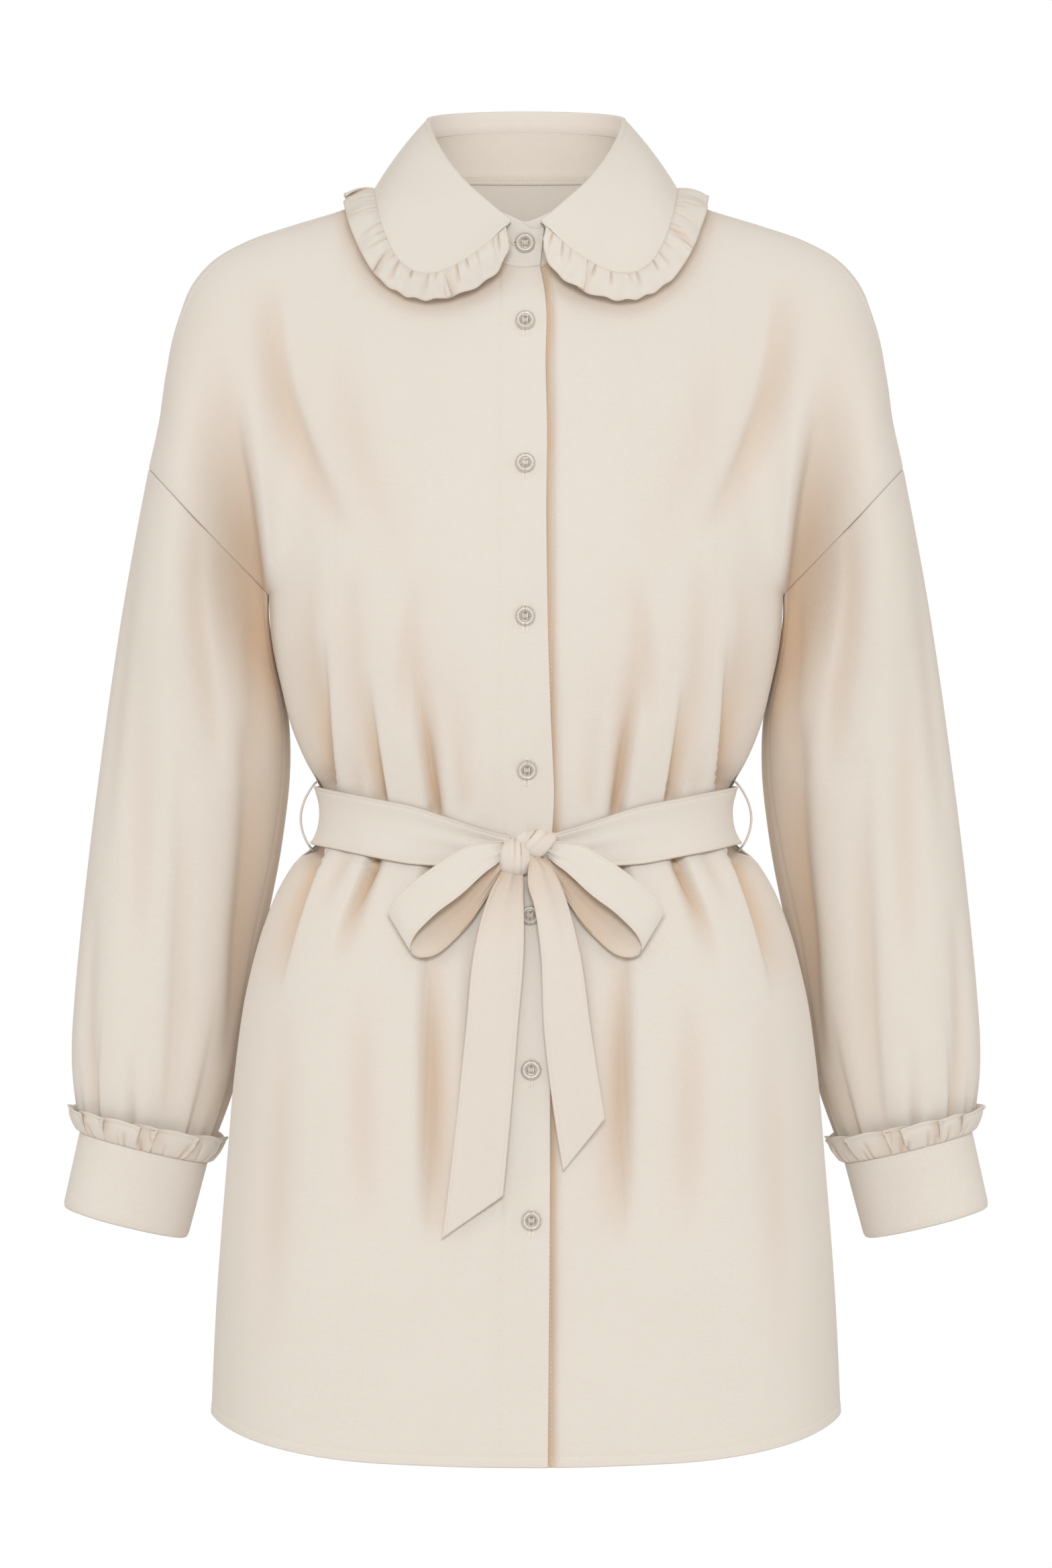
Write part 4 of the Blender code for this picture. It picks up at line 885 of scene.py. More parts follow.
# A cuff's dents: depth, turn, half widths before and after it, and the pace and start of the half sine down.
CUFF_DENTS = ((0.9, 70, 14, 20, 1.0, 0.0), (1.1, 250, 18, 12, 0.8, 0.2))
SEAM_STITCH, EDGE_STITCH = 1.9, 2.0  # from a cuff's seam and from its free edge to their stitching
CUFF_SEAM_ROWS = (0.0, 0.4, 1.0, SEAM_STITCH, 2.6)
CUFF_EDGE_ROWS = (2.6, EDGE_STITCH, 1.4, 0.7, 0.0)
CUFF_FRILL = 17.2
CUFF_FLARE = 2.6
CUFF_ROUND = 229.0  # length of a cuff's seam
CUFF_GATHERS = 34
FRILL_WALL = 0.7
FRILL_GROOVE = 0.16
FRILL_HEM = 0.86  # where the stitching of a frill's hem lies, from its seam to its edge
LAP = 2.6  # half the width of the S where a frill doubles back
# Where one stretch of a cuff's frill laps over the next: its turn round the cuff, and its height there.
CUFF_LAPS = (
    (38, 2.4), (59, 3.4), (87, 3.6), (99, 2.8), (131, 3.9), (160, 2.8), (192, 3.3), (226, 2.6), (243, 3.4),
    (281, 3), (309, 2.5), (338, 3.2),
)


def cuff(turn, down, side):
    """A cuff at a turn, between its two rings, 0 at its seam and 1 at its free edge, with slight dents, each
    a bell curve of the turn and a half sine down the cuff."""
    sizes = [top + (foot - top) * down for top, foot in zip(CUFF_TOP, CUFF_FOOT)]
    dent = 0.0
    for depth, at, before, after, pace, start in CUFF_DENTS:
        half_sine = np.sin(np.pi * np.clip(down * pace + start, 0, 1))
        dent = dent + depth * bell(turned(turn, at), before, after) * half_sine
    points = ring_point(sizes, turn, side)
    return points + unit(ring_point(sizes, turn, side, 0.0) - points) * dent[..., None]


def cuff_piece(name, side):
    """A cuff as a closed sheet, rounded in at its free edge, with a groove for each line of stitching."""
    middle = np.linspace(4, CUFF_DEPTH - 3.4, 14)
    down = np.concatenate([CUFF_SEAM_ROWS, middle, CUFF_DEPTH - np.array(CUFF_EDGE_ROWS)])
    a, off = lattice(np.linspace(0, 360, 145)[:-1], down)
    points = cuff(a, off / CUFF_DEPTH, side)
    normals = grid_normals(points, side, closed=True)
    from_edge = CUFF_DEPTH - off
    sunk = 0.8 * bell(from_edge, 1.4) + 0.22 * bell(from_edge - EDGE_STITCH, 0.5)
    sunk = sunk + 0.2 * bell(off - SEAM_STITCH, 0.5)
    points = rolled_in(points - normals * sunk[..., None], normals, "start", 0.35, 0.9)
    normals = grid_normals(points, side, closed=True)
    return shell(name, points, normals, CUFF_WALL, closed=True), points, normals


def ruffle(place, out, laps, gathers, total, closed):
    """A frill at a length along its seam and a share of the way out. From one lap to the next it rises
    evenly, then doubles back in an S, which is the length less itself times a bell curve, and goes on
    underneath. Each gather at the seam is a notch, a bell curve that widens and fades outwards. Returns the
    shift along the seam, the rise, an arch from 0 to 1 between laps, the notches and the painted shade where
    it doubles back and in its notches."""

    def past(at):
        """How far the point is past a place on the seam, the short way round a closed one."""
        return (place - at + total / 2) % total - total / 2 if closed else place - at

    places, heights = [row[0] for row in laps], [row[1] for row in laps]
    starts = [places[-1] - total if closed else -12.0] + places
    ends = places + [places[0] + total if closed else total + 12.0]
    shift = rise = arch = notches = painted_shade = 0.0
    for start, end, height in zip(starts, ends, heights + heights[:1]):
        run = np.clip((place - start) / (end - start), 0, 1)
        on = ease((place - start) / (1.4 * LAP) + 0.5) * (1 - ease((place - end) / (1.4 * LAP) + 0.5))
        rise = rise + height * on * (0.1 + 0.9 * run)
        arch = arch + on * np.sin(np.pi * run) ** 0.7
    for at in places:
        off = past(at)
        shift = shift - 3.0 * off * bell(off, LAP) * out**0.6
        # painted shade just past each place where the frill doubles back
        painted_shade = painted_shade + 0.55 * bell(off - 1.5, 1.2, 3.4) * out**0.5
    for k in range(gathers):
        at = (k + 0.5 + 0.27 * math.sin(k * 2.4 + 0.5)) * total / gathers
        reach = 0.58 + 0.32 * math.sin(k * 3.1)
        off = past(at + 2.4 * math.sin(k * 1.3) * out)
        notch = bell(off, 0.4 + 1.7 * out, 0.4 + 1.3 * out) * np.clip(1 - out / reach, 0, 1) ** 0.6
        notches = notches + (2.0 + 0.8 * math.sin(k * 1.7 + 0.6)) * notch
    # painted shade also in the notches
    return shift, rise, arch, notches, painted_shade + 0.3 * notches


def cuff_frill(turn, up, side):
    """A cuff's frill, 0 at its seam and 1 at its edge, and the painted shade of each point: it stands on the
    sleeve's form, ruffled, leans out by the flare, and its edge is lower by a square between the arches."""
    laps = [((at + 4 + 4 * side) / 360 * CUFF_ROUND, height) for at, height in CUFF_LAPS]
    place = turn / 360 * CUFF_ROUND
    shift, rise, arch, notches, painted_shade = ruffle(place, up, laps, CUFF_GATHERS, CUFF_ROUND, True)
    turn = turn + shift / CUFF_ROUND * 360
    along = SLEEVE_LENGTH + 0.6 - CUFF_FRILL * up
    here = sleeve(turn, along, side, drawn=False)[0]
    by_turn = sleeve(turn + 1, along, side, drawn=False)[0] - here
    by_length = cuff(turn, 0 * turn, side) - cuff(turn, 0 * turn + 1, side)
    out = side * unit(np.cross(by_length, by_turn))
    puff = 1.4 * np.sin(np.pi * np.minimum(up * 1.2, 1)) ** 0.7
    lift = 1.7 * ease(up / 0.14) - 0.5 + CUFF_FLARE * up + rise * up**0.8 + puff - notches * ease(up * 12)
    droop = 2.4 * up**2 * (1 - arch) + 0.12 * lift * up
    return here + out * lift[..., None] - unit(by_length) * droop[..., None], painted_shade


def cuff_frill_piece(name, side):
    """A cuff's frill as a thin sheet, with a groove for its narrow hem."""
    up = np.array([0, 0.04, 0.08, 0.13, 0.2, 0.3, 0.4, 0.5, 0.6, 0.7, 0.79, 0.84, 0.88, 0.94, 1.0])
    a, v = lattice(np.linspace(0, 360, 541)[:-1], up)
    points, painted_shade = cuff_frill(a, v, side)
    normals = grid_normals(points, -side, closed=True)
    points = points - normals * (FRILL_GROOVE * bell(v - FRILL_HEM, 0.025))[..., None]
    return shell(name, points, normals, FRILL_WALL, closed=True, painted_shade=painted_shade)


for hand, side in SIDES:
    piece, grid, up = cuff_piece(f"{hand}_cuff", side)
    dress(piece, cloth, "cloth", f"cuff_{hand}")
    around = np.arange(len(grid) + 1) % len(grid)
    rows = (CUFF_SEAM_ROWS.index(SEAM_STITCH), CUFF_EDGE_ROWS.index(EDGE_STITCH) - len(CUFF_EDGE_ROWS))
    stitches(f"{hand}_cuff_stitches", [(grid[around, row], up[around, row]) for row in rows])
    piece = dress(cuff_frill_piece(f"{hand}_cuff_frill", side), cloth, "cloth", f"cuff_frill_{hand}")

# ================================================================ collar
# A flat collar with round leaves, of two layers, turns over a low stand that buttons at the throat. A frill
# of the same cloth is gathered into the seam all round the collar's edge.
STAND_TOP = (55.0, 78, 58, -31, 28, 38)
ROLL = (58.1, 79.9, 60.4, -23.5, 40, 51.5)
COLLAR_WALL = 1.2
ROLL_RADIUS = 1.45
FALL_INSIDE = 1.35  # from the stand's top edge to the seam of the fall
THROAT_DROP = 8.6  # how much lower the collar rolls over at the throat
THROAT_REACH = 16.0  # and how far round in degrees
UPWARD = np.array([0, 0, 1.0])
PUFF = 0.08  # how far the fall bulges, as a share of its width
FRILL_SHADE = 0.5  # painted shadow that the frill adds on the fronts
FRILL_SHADE_REACH = 6.5
FRILL_WAVES = 42
FRILL_WAVE = 1.2  # depth of a wave at the frill's edge
COLLAR_GATHERS = 68
STAND_LAP = 1.8  # how far the stand's left end lies behind its right one
STAND_STITCH = 0.085  # where the stitching above the stand's seam lies, as a share of its height
STAND_ROWS = (
    -0.12, -0.07, -0.03, 0, 0.02, 0.05, STAND_STITCH, 0.12, 0.3, 0.5, 0.7, 0.88, 0.92, 0.95, 0.98, 1.0,
)
# Half of the collar from its front corner to the centre back: the turn round the neck, the edge of the fall,
# and the outer edge of its frill.
COLLAR = Table(
    "turn edge_x edge_y edge_z frill_x frill_y frill_z",
    (9, 12, -83, -33, 8.8, -86.5, -44),
    (16, 20, -82, -41, 15, -86.5, -59),
    (25, 32, -79, -50.3, 27.5, -85, -69),
    (35, 46.3, -75, -57.8, 43.5, -82.5, -75),
    (45, 57, -73, -60, 58, -81, -77),
    (55, 68, -71, -57.3, 73, -78.5, -73),
    (65, 77.3, -66.5, -47.3, 88, -71, -61),
    (73, 83.5, -57, -33, 97.5, -60, -45),
    (81, 87.5, -41, -18.5, 104.5, -43, -27),
    (92, 90, -12, -5, 108, -12, -12),
    (108, 88, 14, -3, 103, 20, -8),
    (125, 76, 38, -3, 87, 49, -12),
    (145, 54, 57, -3, 60, 69, -15),
    (162, 28, 67, -3, 31, 78, -17),
    (180, 0, 70, -3, 0, 81, -18),
)
COLLAR_FIRST = COLLAR["turn"][0]
# Where one stretch of the collar's frill laps over the next: length along the seam from the left leaf's
# front, and its height.
COLLAR_LAPS = ((31, 1.6), (97, 1.4), (182, 1.5), (268, 1.8), (341, 1.4), (422, 2.0), (500, 1.6), (540, 1.2))


def collar_row(turn):
    """Edge of the fall and outer edge of its frill at a turn round the neck from 0 to 360."""
    side = np.where(turn > 180, -1.0, 1.0)
    x, y, z, tip_x, tip_y, tip_z = COLLAR.at(np.where(turn > 180, 360 - turn, turn))
    return np.stack([side * x, y, z], axis=-1), np.stack([side * tip_x, tip_y, tip_z], axis=-1)


def away(turn):
    """Direction out from the neck at a turn round it."""
    return np.stack([np.sin(np.radians(turn)), -np.cos(np.radians(turn)), 0 * turn], axis=-1)


def stand(turn, up):
    """The stand: straight lines between its two rings, the left end a wall and a gap further in. Its right
    end is slanted, so the turn there grows with the height."""
    turn = turn + 3.4 * up * ease((turn - 355) / 12)
    low, high = ring(NECKLINE, turn), ring(STAND_TOP, turn)
    high[..., 2] += 2.6 * bell(np.abs(turned(turn, 0)) - 13, 9, 16) - 7.0 * ease((turn - 354) / 15)
    points = low + (high - low) * up[..., None] + 0.7 * UPWARD * (1 - up[..., None])
    inside = STAND_LAP * (1 - ease((turn - 10) / 6))
    return points - away(turn) * inside[..., None]


def stand_piece(name):
    """The stand as a sheet, tucked in under the neckline, with grooves for its stitching."""
    turns = np.concatenate([[-8, -7.6, -7], np.linspace(-5.5, 364, 190), [365.3, 366, 366.5, 367, 367.5]])
    a, v = lattice(turns, STAND_ROWS)
    points = stand(a, v) - away(a) * (0.5 * ease(-v / 0.03))[..., None]
    groove = bell(v - STAND_STITCH, 0.02) + bell(a - 366.0, 0.5)
    points = points - grid_normals(points, 1) * (0.15 * groove)[..., None]
    normals = grid_normals(points, 1)
    return shell(name, points, normals, COLLAR_WALL * (1 - 0.6 * ease(-v / 0.05))), points, normals


def fall(turn, down):
    """The fall: up from the stand, over a half circle of the roll, which dips at the throat by a bell curve,
    then straight to its edge with a bulge of t(1 - t) outwards. Down is 0 at the stand, 1 and 2 at the roll's
    ends and 3 at the edge."""
    top, roll = ring(STAND_TOP, turn), ring(ROLL, turn)
    roll[..., 2] -= THROAT_DROP * bell(np.where(turn > 180, 360 - turn, turn), THROAT_REACH)
    out = away(turn)
    start = top - out * FALL_INSIDE - 0.5 * UPWARD
    up_to = start + (roll - top)
    up_to[..., 2] -= ROLL_RADIUS
    bend = np.pi * np.clip(down - 1, 0, 1)
    over = ROLL_RADIUS * ((1 - np.cos(bend))[..., None] * out + np.sin(bend)[..., None] * UPWARD)
    end = up_to + 2 * ROLL_RADIUS * out
    edge, _ = collar_row(turn)
    t = np.clip(down - 2, 0, 1)[..., None]
    puff = PUFF * (1 + 1.6 * ease(np.cos(np.radians(turn)) * 1.5))
    bulge = np.linalg.norm(edge - end, axis=-1, keepdims=True) * t * (1 - t)
    lower = end + (edge - end) * t + bulge * (puff[..., None] * out + PUFF * UPWARD)
    rise = start + (up_to - start) * np.clip(down, 0, 1)[..., None]
    return np.where((down <= 1)[..., None], rise, np.where((down <= 2)[..., None], up_to + over, lower))


def fall_piece(name):
    """The fall as a sheet, rounded in at the seam of its edge."""
    turns = np.linspace(COLLAR_FIRST, 360 - COLLAR_FIRST, 221)
    close = np.array([0, 0.3, 0.7])
    turns = np.concatenate([turns[0] + close, turns[1:-1], turns[-1] - close[::-1]])
    lower = [2 + np.linspace(0.05, 0.955, 21), [2.968, 2.98, 2.992, 3.0]]
    a, v = lattice(turns, np.concatenate([[0, 0.5], np.linspace(1, 2, 9)] + lower))
    points = fall(a, v)
    points = rolled_in(points, grid_normals(points, -1), "end", 0.25, 0.8)
    return shell(name, points, grid_normals(points, -1), COLLAR_WALL)


def collar_frill(turn, out, gone, length_at):
    """The collar's frill, 0 at its seam and 1 at its edge, and the painted shade of each point: straight
    lines between two curves, ruffled, with waves that grow outwards. Gone is the length along the seam."""
    shift, rise, _, notches, painted_shade = ruffle(gone, out, COLLAR_LAPS, COLLAR_GATHERS, gone.max(), False)
    turn = np.interp(gone + shift, *length_at)
    edge, tip = collar_row(turn)
    ahead, _ = collar_row(turn + 0.5)
    along, across = unit(ahead - edge), unit(tip - edge)
    up = -unit(np.cross(along, across))
    share = (turn - COLLAR_FIRST) / (360 - 2 * COLLAR_FIRST)
    wave = np.sin(2 * np.pi * FRILL_WAVES * share + 1.3 * np.sin(2 * np.pi * 7 * share))
    puff = 1.7 * np.sin(np.pi * np.minimum(out * 1.1, 1)) ** 0.7
    lift = (FRILL_WAVE * wave + 0.6 + rise) * out + puff - 0.45 * (1 - ease(out / 0.1))
    lift = lift - notches * ease(out * 14)
    from_end = np.minimum(turn, 360 - turn) - COLLAR_FIRST
    start = -0.5 + 0.9 * (1 - ease(from_end / 10))
    reach = out * (0.72 + 0.28 * ease(from_end / 1.4))
    return edge + across * start[..., None] + (tip - edge) * reach[..., None] + up * lift[..., None], painted_shade


def collar_frill_piece(name):
    """The collar's frill as a thin sheet, with a groove for its narrow hem and painted shade along its outer
    edge.
    """
    turns = np.linspace(COLLAR_FIRST, 360 - COLLAR_FIRST, 1001)
    out = np.array([0, 0.04, 0.09, 0.15, 0.23, 0.32, 0.42, 0.53, 0.64, 0.73, 0.8, 0.845, 0.89, 0.94, 1.0])
    gone = steps_of(collar_row(turns)[0][:, None], 0)[:, 0]
    g, v = lattice(gone, out)
    points, painted_shade = collar_frill(np.broadcast_to(turns[:, None], g.shape), v, g, (gone, turns))
    normals = grid_normals(points, -1)
    points = points - normals * (FRILL_GROOVE * bell(v - FRILL_HEM, 0.02))[..., None]
    # painted shade along the frill's outer edge
    return shell(name, points, normals, FRILL_WALL, painted_shade=painted_shade + 0.3 * ease((v - 0.93) / 0.06))


def paint_frill_shadow(front):
    """Paints the frill's shadow on a front: a deeper tone by a bell curve of its distance from the frill's
    outer edge, seen from in front."""
    mesh = front.data
    places, painted_shade = np.empty(len(mesh.vertices) * 3, np.float32), np.empty(len(mesh.vertices), np.float32)
    mesh.vertices.foreach_get("co", places)
    x, z = np.abs(places[::3]) / MM, places[2::3] / MM
    tip = collar_row(np.linspace(COLLAR_FIRST, 96, 60))[1]
    off = np.hypot(x[:, None] - tip[:, 0], z[:, None] - tip[:, 2]).min(axis=1)
    mesh.attributes["fold"].data.foreach_get("value", painted_shade)
    painted_shade = np.clip(painted_shade + FRILL_SHADE * bell(off, FRILL_SHADE_REACH), 0, 1).astype(np.float32)
    mesh.attributes["fold"].data.foreach_set("value", painted_shade)


piece, grid, up = stand_piece("collar_stand_band")
dress(piece, cloth, "cloth", "collar_stand")
row = STAND_ROWS.index(STAND_STITCH)
stitches("stand_stitches", [(grid[3:-5, row], up[3:-5, row]), (grid[-4, row:-2], up[-4, row:-2])])
inner = grid - up * COLLAR_WALL
stitches("stand_inner_stitches", [(inner[40:-40, row], -up[40:-40, row]) for row in (2, -3)], radius=0.2)
piece = dress(fall_piece("collar_fall"), cloth, "cloth", "collar")
piece = dress(collar_frill_piece("collar_frill_strip"), cloth, "cloth", "collar_frill")
# the collar's frill throws a painted shadow on the fronts
for front in (front_right, front_left):
    paint_frill_shadow(front)

# ================================================================ tie belt and its bow
# One long strip of two layers, stitched 2 mm in from its edges. It lies round the waist and is tied in front
# in a bow with two drooping loops and two tails, whose ends are cut on the slant.
BELT_HALF_WIDTH = 16.5
KNOT_HALF_WIDTH = 10.0  # of the belt where it goes into the knot
TAIL_HALF_WIDTH = 15.5
BELT_WALL = 0.9
BOW_WALL = 0.8
BELT_EDGE = 2.0  # from an edge to its stitching
STRIP_PLACES = (0, 0.35, 0.9, 1.5, BELT_EDGE, 2.5, 3.4)  # lines along a strip near its edges, from the edge


def waist_surface(x, z):
    """The front of the body at x and z, found by stepping towards the angle whose point has this x."""
    angle = np.zeros(np.broadcast(x, z).shape)
    for _ in range(6):
        half = np.abs(lower_body(angle, z)[..., 0]) / np.maximum(np.abs(np.sin(np.radians(angle))), 1e-9)
        half = np.where(np.abs(angle) < 1e-6, lower_body(0 * angle + 90.0, z)[..., 0], half)
        angle = np.degrees(np.arcsin(np.clip(x / half, -0.99, 0.99)))
    return lower_body(angle, z)


def pipes(across, *waves):
    """Creases along a strip: cosines across it, each by its depth, its pace and its shift."""
    return sum(depth * np.cos(pace * across + shift) for depth, pace, shift in waves)


def belt(angle, across):
    """The belt round the waist: it stands clear of the widest section under it, narrows into the knot, and
    creases along its length there: a cosine across it that fades with the angle."""
    angle = np.where(angle > 180, angle - 360, angle)
    half = KNOT_HALF_WIDTH + (BELT_HALF_WIDTH - KNOT_HALF_WIDTH) * ease((np.abs(angle) - 5) / 30)
    middle_z = WAIST_Z - waist_dip(angle)
    here, middle = lower_body(angle, middle_z + half * across), lower_body(angle, middle_z)
    from_axis, wide = (np.linalg.norm(points[..., :2], axis=-1) for points in (here, middle))
    clear = np.maximum(from_axis, wide) - from_axis + BELT_WALL + 2.4
    near = np.exp(-((np.abs(angle) - 7) / 16.0))
    crease = near * pipes(across, (1.7, 4.4, 0.5), (0.9, 9.5, -0.4))
    lean = 0.55 * np.sin(np.radians(angle) * 5 + 1.0) + 0.35 * np.sin(np.radians(angle) * 11)
    return here + unit(here * np.array([1, 1.4, 0])) * (clear + crease + lean * across)[..., None]


def strip_across(half_width):
    """Places across a strip from -1 to 1, close together at the edges and their stitching."""
    off = np.array(STRIP_PLACES) / half_width
    inner = np.linspace(-1 + 5.0 / half_width, 1 - 5.0 / half_width, 9)
    return np.concatenate([-1 + off, inner, (1 - off)[::-1]])


def strip_finish(name, points, outward, across, half_width, wall=BELT_WALL, painted_shade=0.0):
    """A strip's shell, with rounded edges, the grooves along them, painted shade along its edges and its two
    lines of stitching.
    """
    normals = grid_normals(points, outward)
    groove = 0.34 * bell((1 - np.abs(across)) * half_width - BELT_EDGE, 0.45)
    points = points - normals * groove[..., None]
    lengthways = points.shape[0] > points.shape[1]
    for edge in ("start", "end") if lengthways else ("first", "last"):
        points = rolled_in(points, normals, edge, 0.3, 0.9)
    normals = grid_normals(points, outward)
    # painted shade along the strip's two edges, added to the shade it is given
    made = shell(name, points, normals, wall, painted_shade=painted_shade + 0.3 * ease((np.abs(across) - 0.95) / 0.04))
    dress(made, cloth, "cloth")
    if not lengthways:
        points, normals = points.swapaxes(0, 1), normals.swapaxes(0, 1)
    row = STRIP_PLACES.index(BELT_EDGE)
    lines = [(points[2:-2, i], normals[2:-2, i]) for i in (row, -1 - row)]
    stitches(name + "_stitches", lines, radius=0.14, rise=0.08)
    return made


a, v = lattice(np.linspace(4.4, 355.6, 300), strip_across(BELT_HALF_WIDTH))
piece = strip_finish("waist_belt", belt(a, v), 1, v, BELT_HALF_WIDTH)
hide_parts("belt")

# Each wrap of the knot: its centre's x and z, its tilt in degrees, how far that centre stands off the body
# and the wrap off it, its outline, and its creases by where each crosses its top and its foot, its depth and
# its half width.
WRAPS = {
    "knot_front_wrap": (
        -6.4, -399.5, 0, 3.4, 9.0,
        Table(
            "across top bottom",
            (-8.4, 7.8, -10.4), (-4.7, 9.3, -10.4), (-0.5, 9.8, -10.5),
            (2.8, 11.2, -10.9), (5, 13, -11.4), (8.4, 12.5, -12.6),
        ),
        ((0.2, -1.0, 1.0, 0.8), (3.2, 3.6, 1.7, 0.6), (5.4, 6.4, 0.9, 0.7), (-3.8, -4.2, 0.35, 1.2)),
    ),
    "knot_side_wrap": (
        5.9, -389.8, -40, 3.0, 7.6,
        Table(
            "across top bottom",
            (-9, -1, -8.6), (-5, 3.6, -9.2), (0.5, 6.8, -9.2),
            (4.5, 9, -9), (6.3, 11, -9), (9, 11.5, -9),
        ),
        ((-3.4, -3.0, 1.8, 0.6), (2.2, 1.0, 0.8, 1.0), (-6.0, -5.0, 0.8, 0.8), (5.8, 4.4, 0.4, 1.3)),
    ),
}


def knot_wrap(name):
    """A wrap of the knot: a band bent round an axis across it. Its section runs from its outline's top to its
    bottom as a cosine and out to the front as a power of the sine, and all of it closes at its two edges by a
    power of the cosine; each crease is a bell curve across, deepest at the top, and gets painted shade by its
    depth."""
    centre_x, centre_z, tilt, off_body, depth, outline, creases = WRAPS[name]
    lean = np.radians(np.linspace(-89.4, 89.4, 52))
    turn, lean = lattice(np.linspace(0, 2 * np.pi, 73)[:-1], lean)
    first, last = outline["across"][[0, -1]]
    across = (last + first) / 2 + (last - first) / 2 * np.sin(lean)
    top, bottom = outline.at(across)
    crease = 0.0
    for at_top, at_foot, deep, width in creases:
        at = at_top + (at_foot - at_top) * (1 - np.cos(turn)) / 2
        fade = 1 - 0.8 * ease(np.where(turn < np.pi, turn, 2 * np.pi - turn) / 2.6)
        crease = crease + deep * fade * bell(across - at, width, width * 1.8)
    swell = np.cos(lean) ** 0.4 * (1 - crease / depth)
    tall = (top + bottom) / 2 + (top - bottom) / 2 * np.cos(turn) * swell
    front = depth * np.sign(np.sin(turn)) * np.abs(np.sin(turn)) ** 0.75 * swell
    c, s = math.cos(math.radians(tilt)), math.sin(math.radians(tilt))
    y = waist_surface(np.array(centre_x), np.array(centre_z))[1] - off_body - front
    points = np.stack([centre_x + across * c - tall * s, y, centre_z + across * s + tall * c], axis=-1)
    normals = grid_normals(points, -1, closed=True)
    # painted shade in the creases
    return shell(name, points, normals, BOW_WALL, closed=True, painted_shade=crease / 1.5)


for name in WRAPS:
    piece = dress(knot_wrap(name), cloth, "cloth", "belt_knot")

# Seen from the front: along the loop, its middle, the half vector to its upper edge, and how far it stands
# off the body. The rows run out along the near leaf, round the turn and back along the far leaf.
LOOP = Table(
    "at x z across_x across_z lift",
    (0, 12.6, -395.6, 0.5, 4.2, 6),
    (0.06, 18.6, -397.6, 1.7, 6.2, 11.5),
    (0.12, 26, -400, 3.6, 7.7, 15),
    (0.25, 42, -411, 4.5, 10.3, 18),
    (0.38, 60.5, -425, 6, 9.6, 17),
    (0.46, 71, -436, 6.5, 9.6, 13),
    (0.50, 73.5, -441.5, 6.6, 9.8, 9),
    (0.56, 70, -447, 5.2, 9.7, 5.2),
    (0.65, 59.5, -446.5, 5, 10.6, 4.2),
    (0.78, 44.5, -436.5, 4, 10.6, 4.2),
    (0.90, 29, -422.5, 2, 8.5, 4.6),
    (1, 12.8, -402.5, 0, 4, 4.5),
)


def bow_loop(at, across, side):
    """A loop of the bow along its rows, with a slight pipe across and creases that fan out from the knot."""
    x, z, across_x, across_z, lift = LOOP.at(at)
    points = waist_surface(side * (x + across * across_x), z + across * across_z)
    near = np.exp(-at / 0.13) + 0.8 * np.exp(-(1 - at) / 0.12)
    crease = near * pipes(across, (1.5, 5.2, 0.6), (0.7, 10, 1.0))
    points[..., 1] -= lift + 1.5 * (1 - across**2) * np.sin(np.pi * at) + crease
    return points


for hand, side in SIDES:
    rows = np.concatenate([np.linspace(0, 0.42, 50), np.linspace(0.425, 0.6, 40), np.linspace(0.607, 1, 44)])
    at, v = lattice(rows, strip_across(BELT_HALF_WIDTH))
    # painted shade inside the loop, on its far leaf, deepest towards the knot
    inside = 0.75 * ease((at - 0.5) / 0.08) * (0.5 + 0.5 * ease((at - 0.6) / 0.3))
    points = bow_loop(at, v, side)
    piece = strip_finish(f"{hand}_bow_loop", points, side, v, BELT_HALF_WIDTH, BOW_WALL, inside)
    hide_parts(f"bow_loop_{hand}")

# A tail: height, its middle, its half width and how far it stands off the skirt; and the heights of its two
# corners at the slanted end, with its length laid flat.
TAILS = {
    "right": (
        Table(
            "z x half_width lift",
            (-402, -7.4, 4.4, 3.5), (-409, -8.2, 5.8, 7), (-415, -9.9, 8, 9),
            (-421, -11.4, 9.5, 9.2), (-428, -12.6, 11, 9), (-450, -15.2, 14, 7.5),
            (-500, -19.8, 15, 5), (-560, -25.5, 15.6, 4.5), (-605, -30.5, 16, 4.5),
            (-630, -34, 16.2, 4.5),
        ),
        (-618, -593), 0.202,
    ),
    "left": (
        Table(
            "z x half_width lift",
            (-397, 2.8, 0.9, 6.5), (-400.5, 4.8, 2.8, 9), (-404, 7.3, 5.2, 11),
            (-409, 8.9, 7.4, 12), (-415, 10.4, 9, 11.5), (-427, 14.2, 9.6, 9.5),
            (-450, 19, 11, 8.5), (-500, 24, 13.6, 7), (-540, 29.5, 14.4, 6),
            (-565, 33.5, 14.6, 5.5), (-590, 38, 14.8, 5),
        ),
        (-579, -549), 0.167,
    ),
}


def tail(form, corners, across, down):
    """A tail of the bow, straight down the skirt, with a shallow pipe across it and creases near the knot."""
    left_end, right_end = corners
    top = form["z"][0]
    z = top + ((left_end + right_end) / 2 + (right_end - left_end) / 2 * across - top) * down
    x, half, lift = form.at(z)
    points = waist_surface(x + half * across, z)
    near = np.exp(-(top - z) / 26.0) * ease((top - z) / 12 + 0.3)
    crease = near * pipes(across, (1.9, 4.4, 0.4), (0.6, 10, 0))
    points[..., 1] -= lift + 1.2 * np.cos(2.2 * across + z / 40) + crease
    return points


for hand, (form, corners, length) in TAILS.items():
    down = np.concatenate([np.linspace(0, 0.985, 120), [0.99, 0.995, 1.0]])
    v, t = lattice(strip_across(TAIL_HALF_WIDTH), down)
    # painted shade: slight all down the tail and more near the knot
    shade = 0.08 + 0.45 * bell(t, 0.14)
    piece = strip_finish(f"{hand}_tail", tail(form, corners, v, t), -1, v, TAIL_HALF_WIDTH, BOW_WALL, shade)
    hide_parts(f"belt_tail_{hand}")

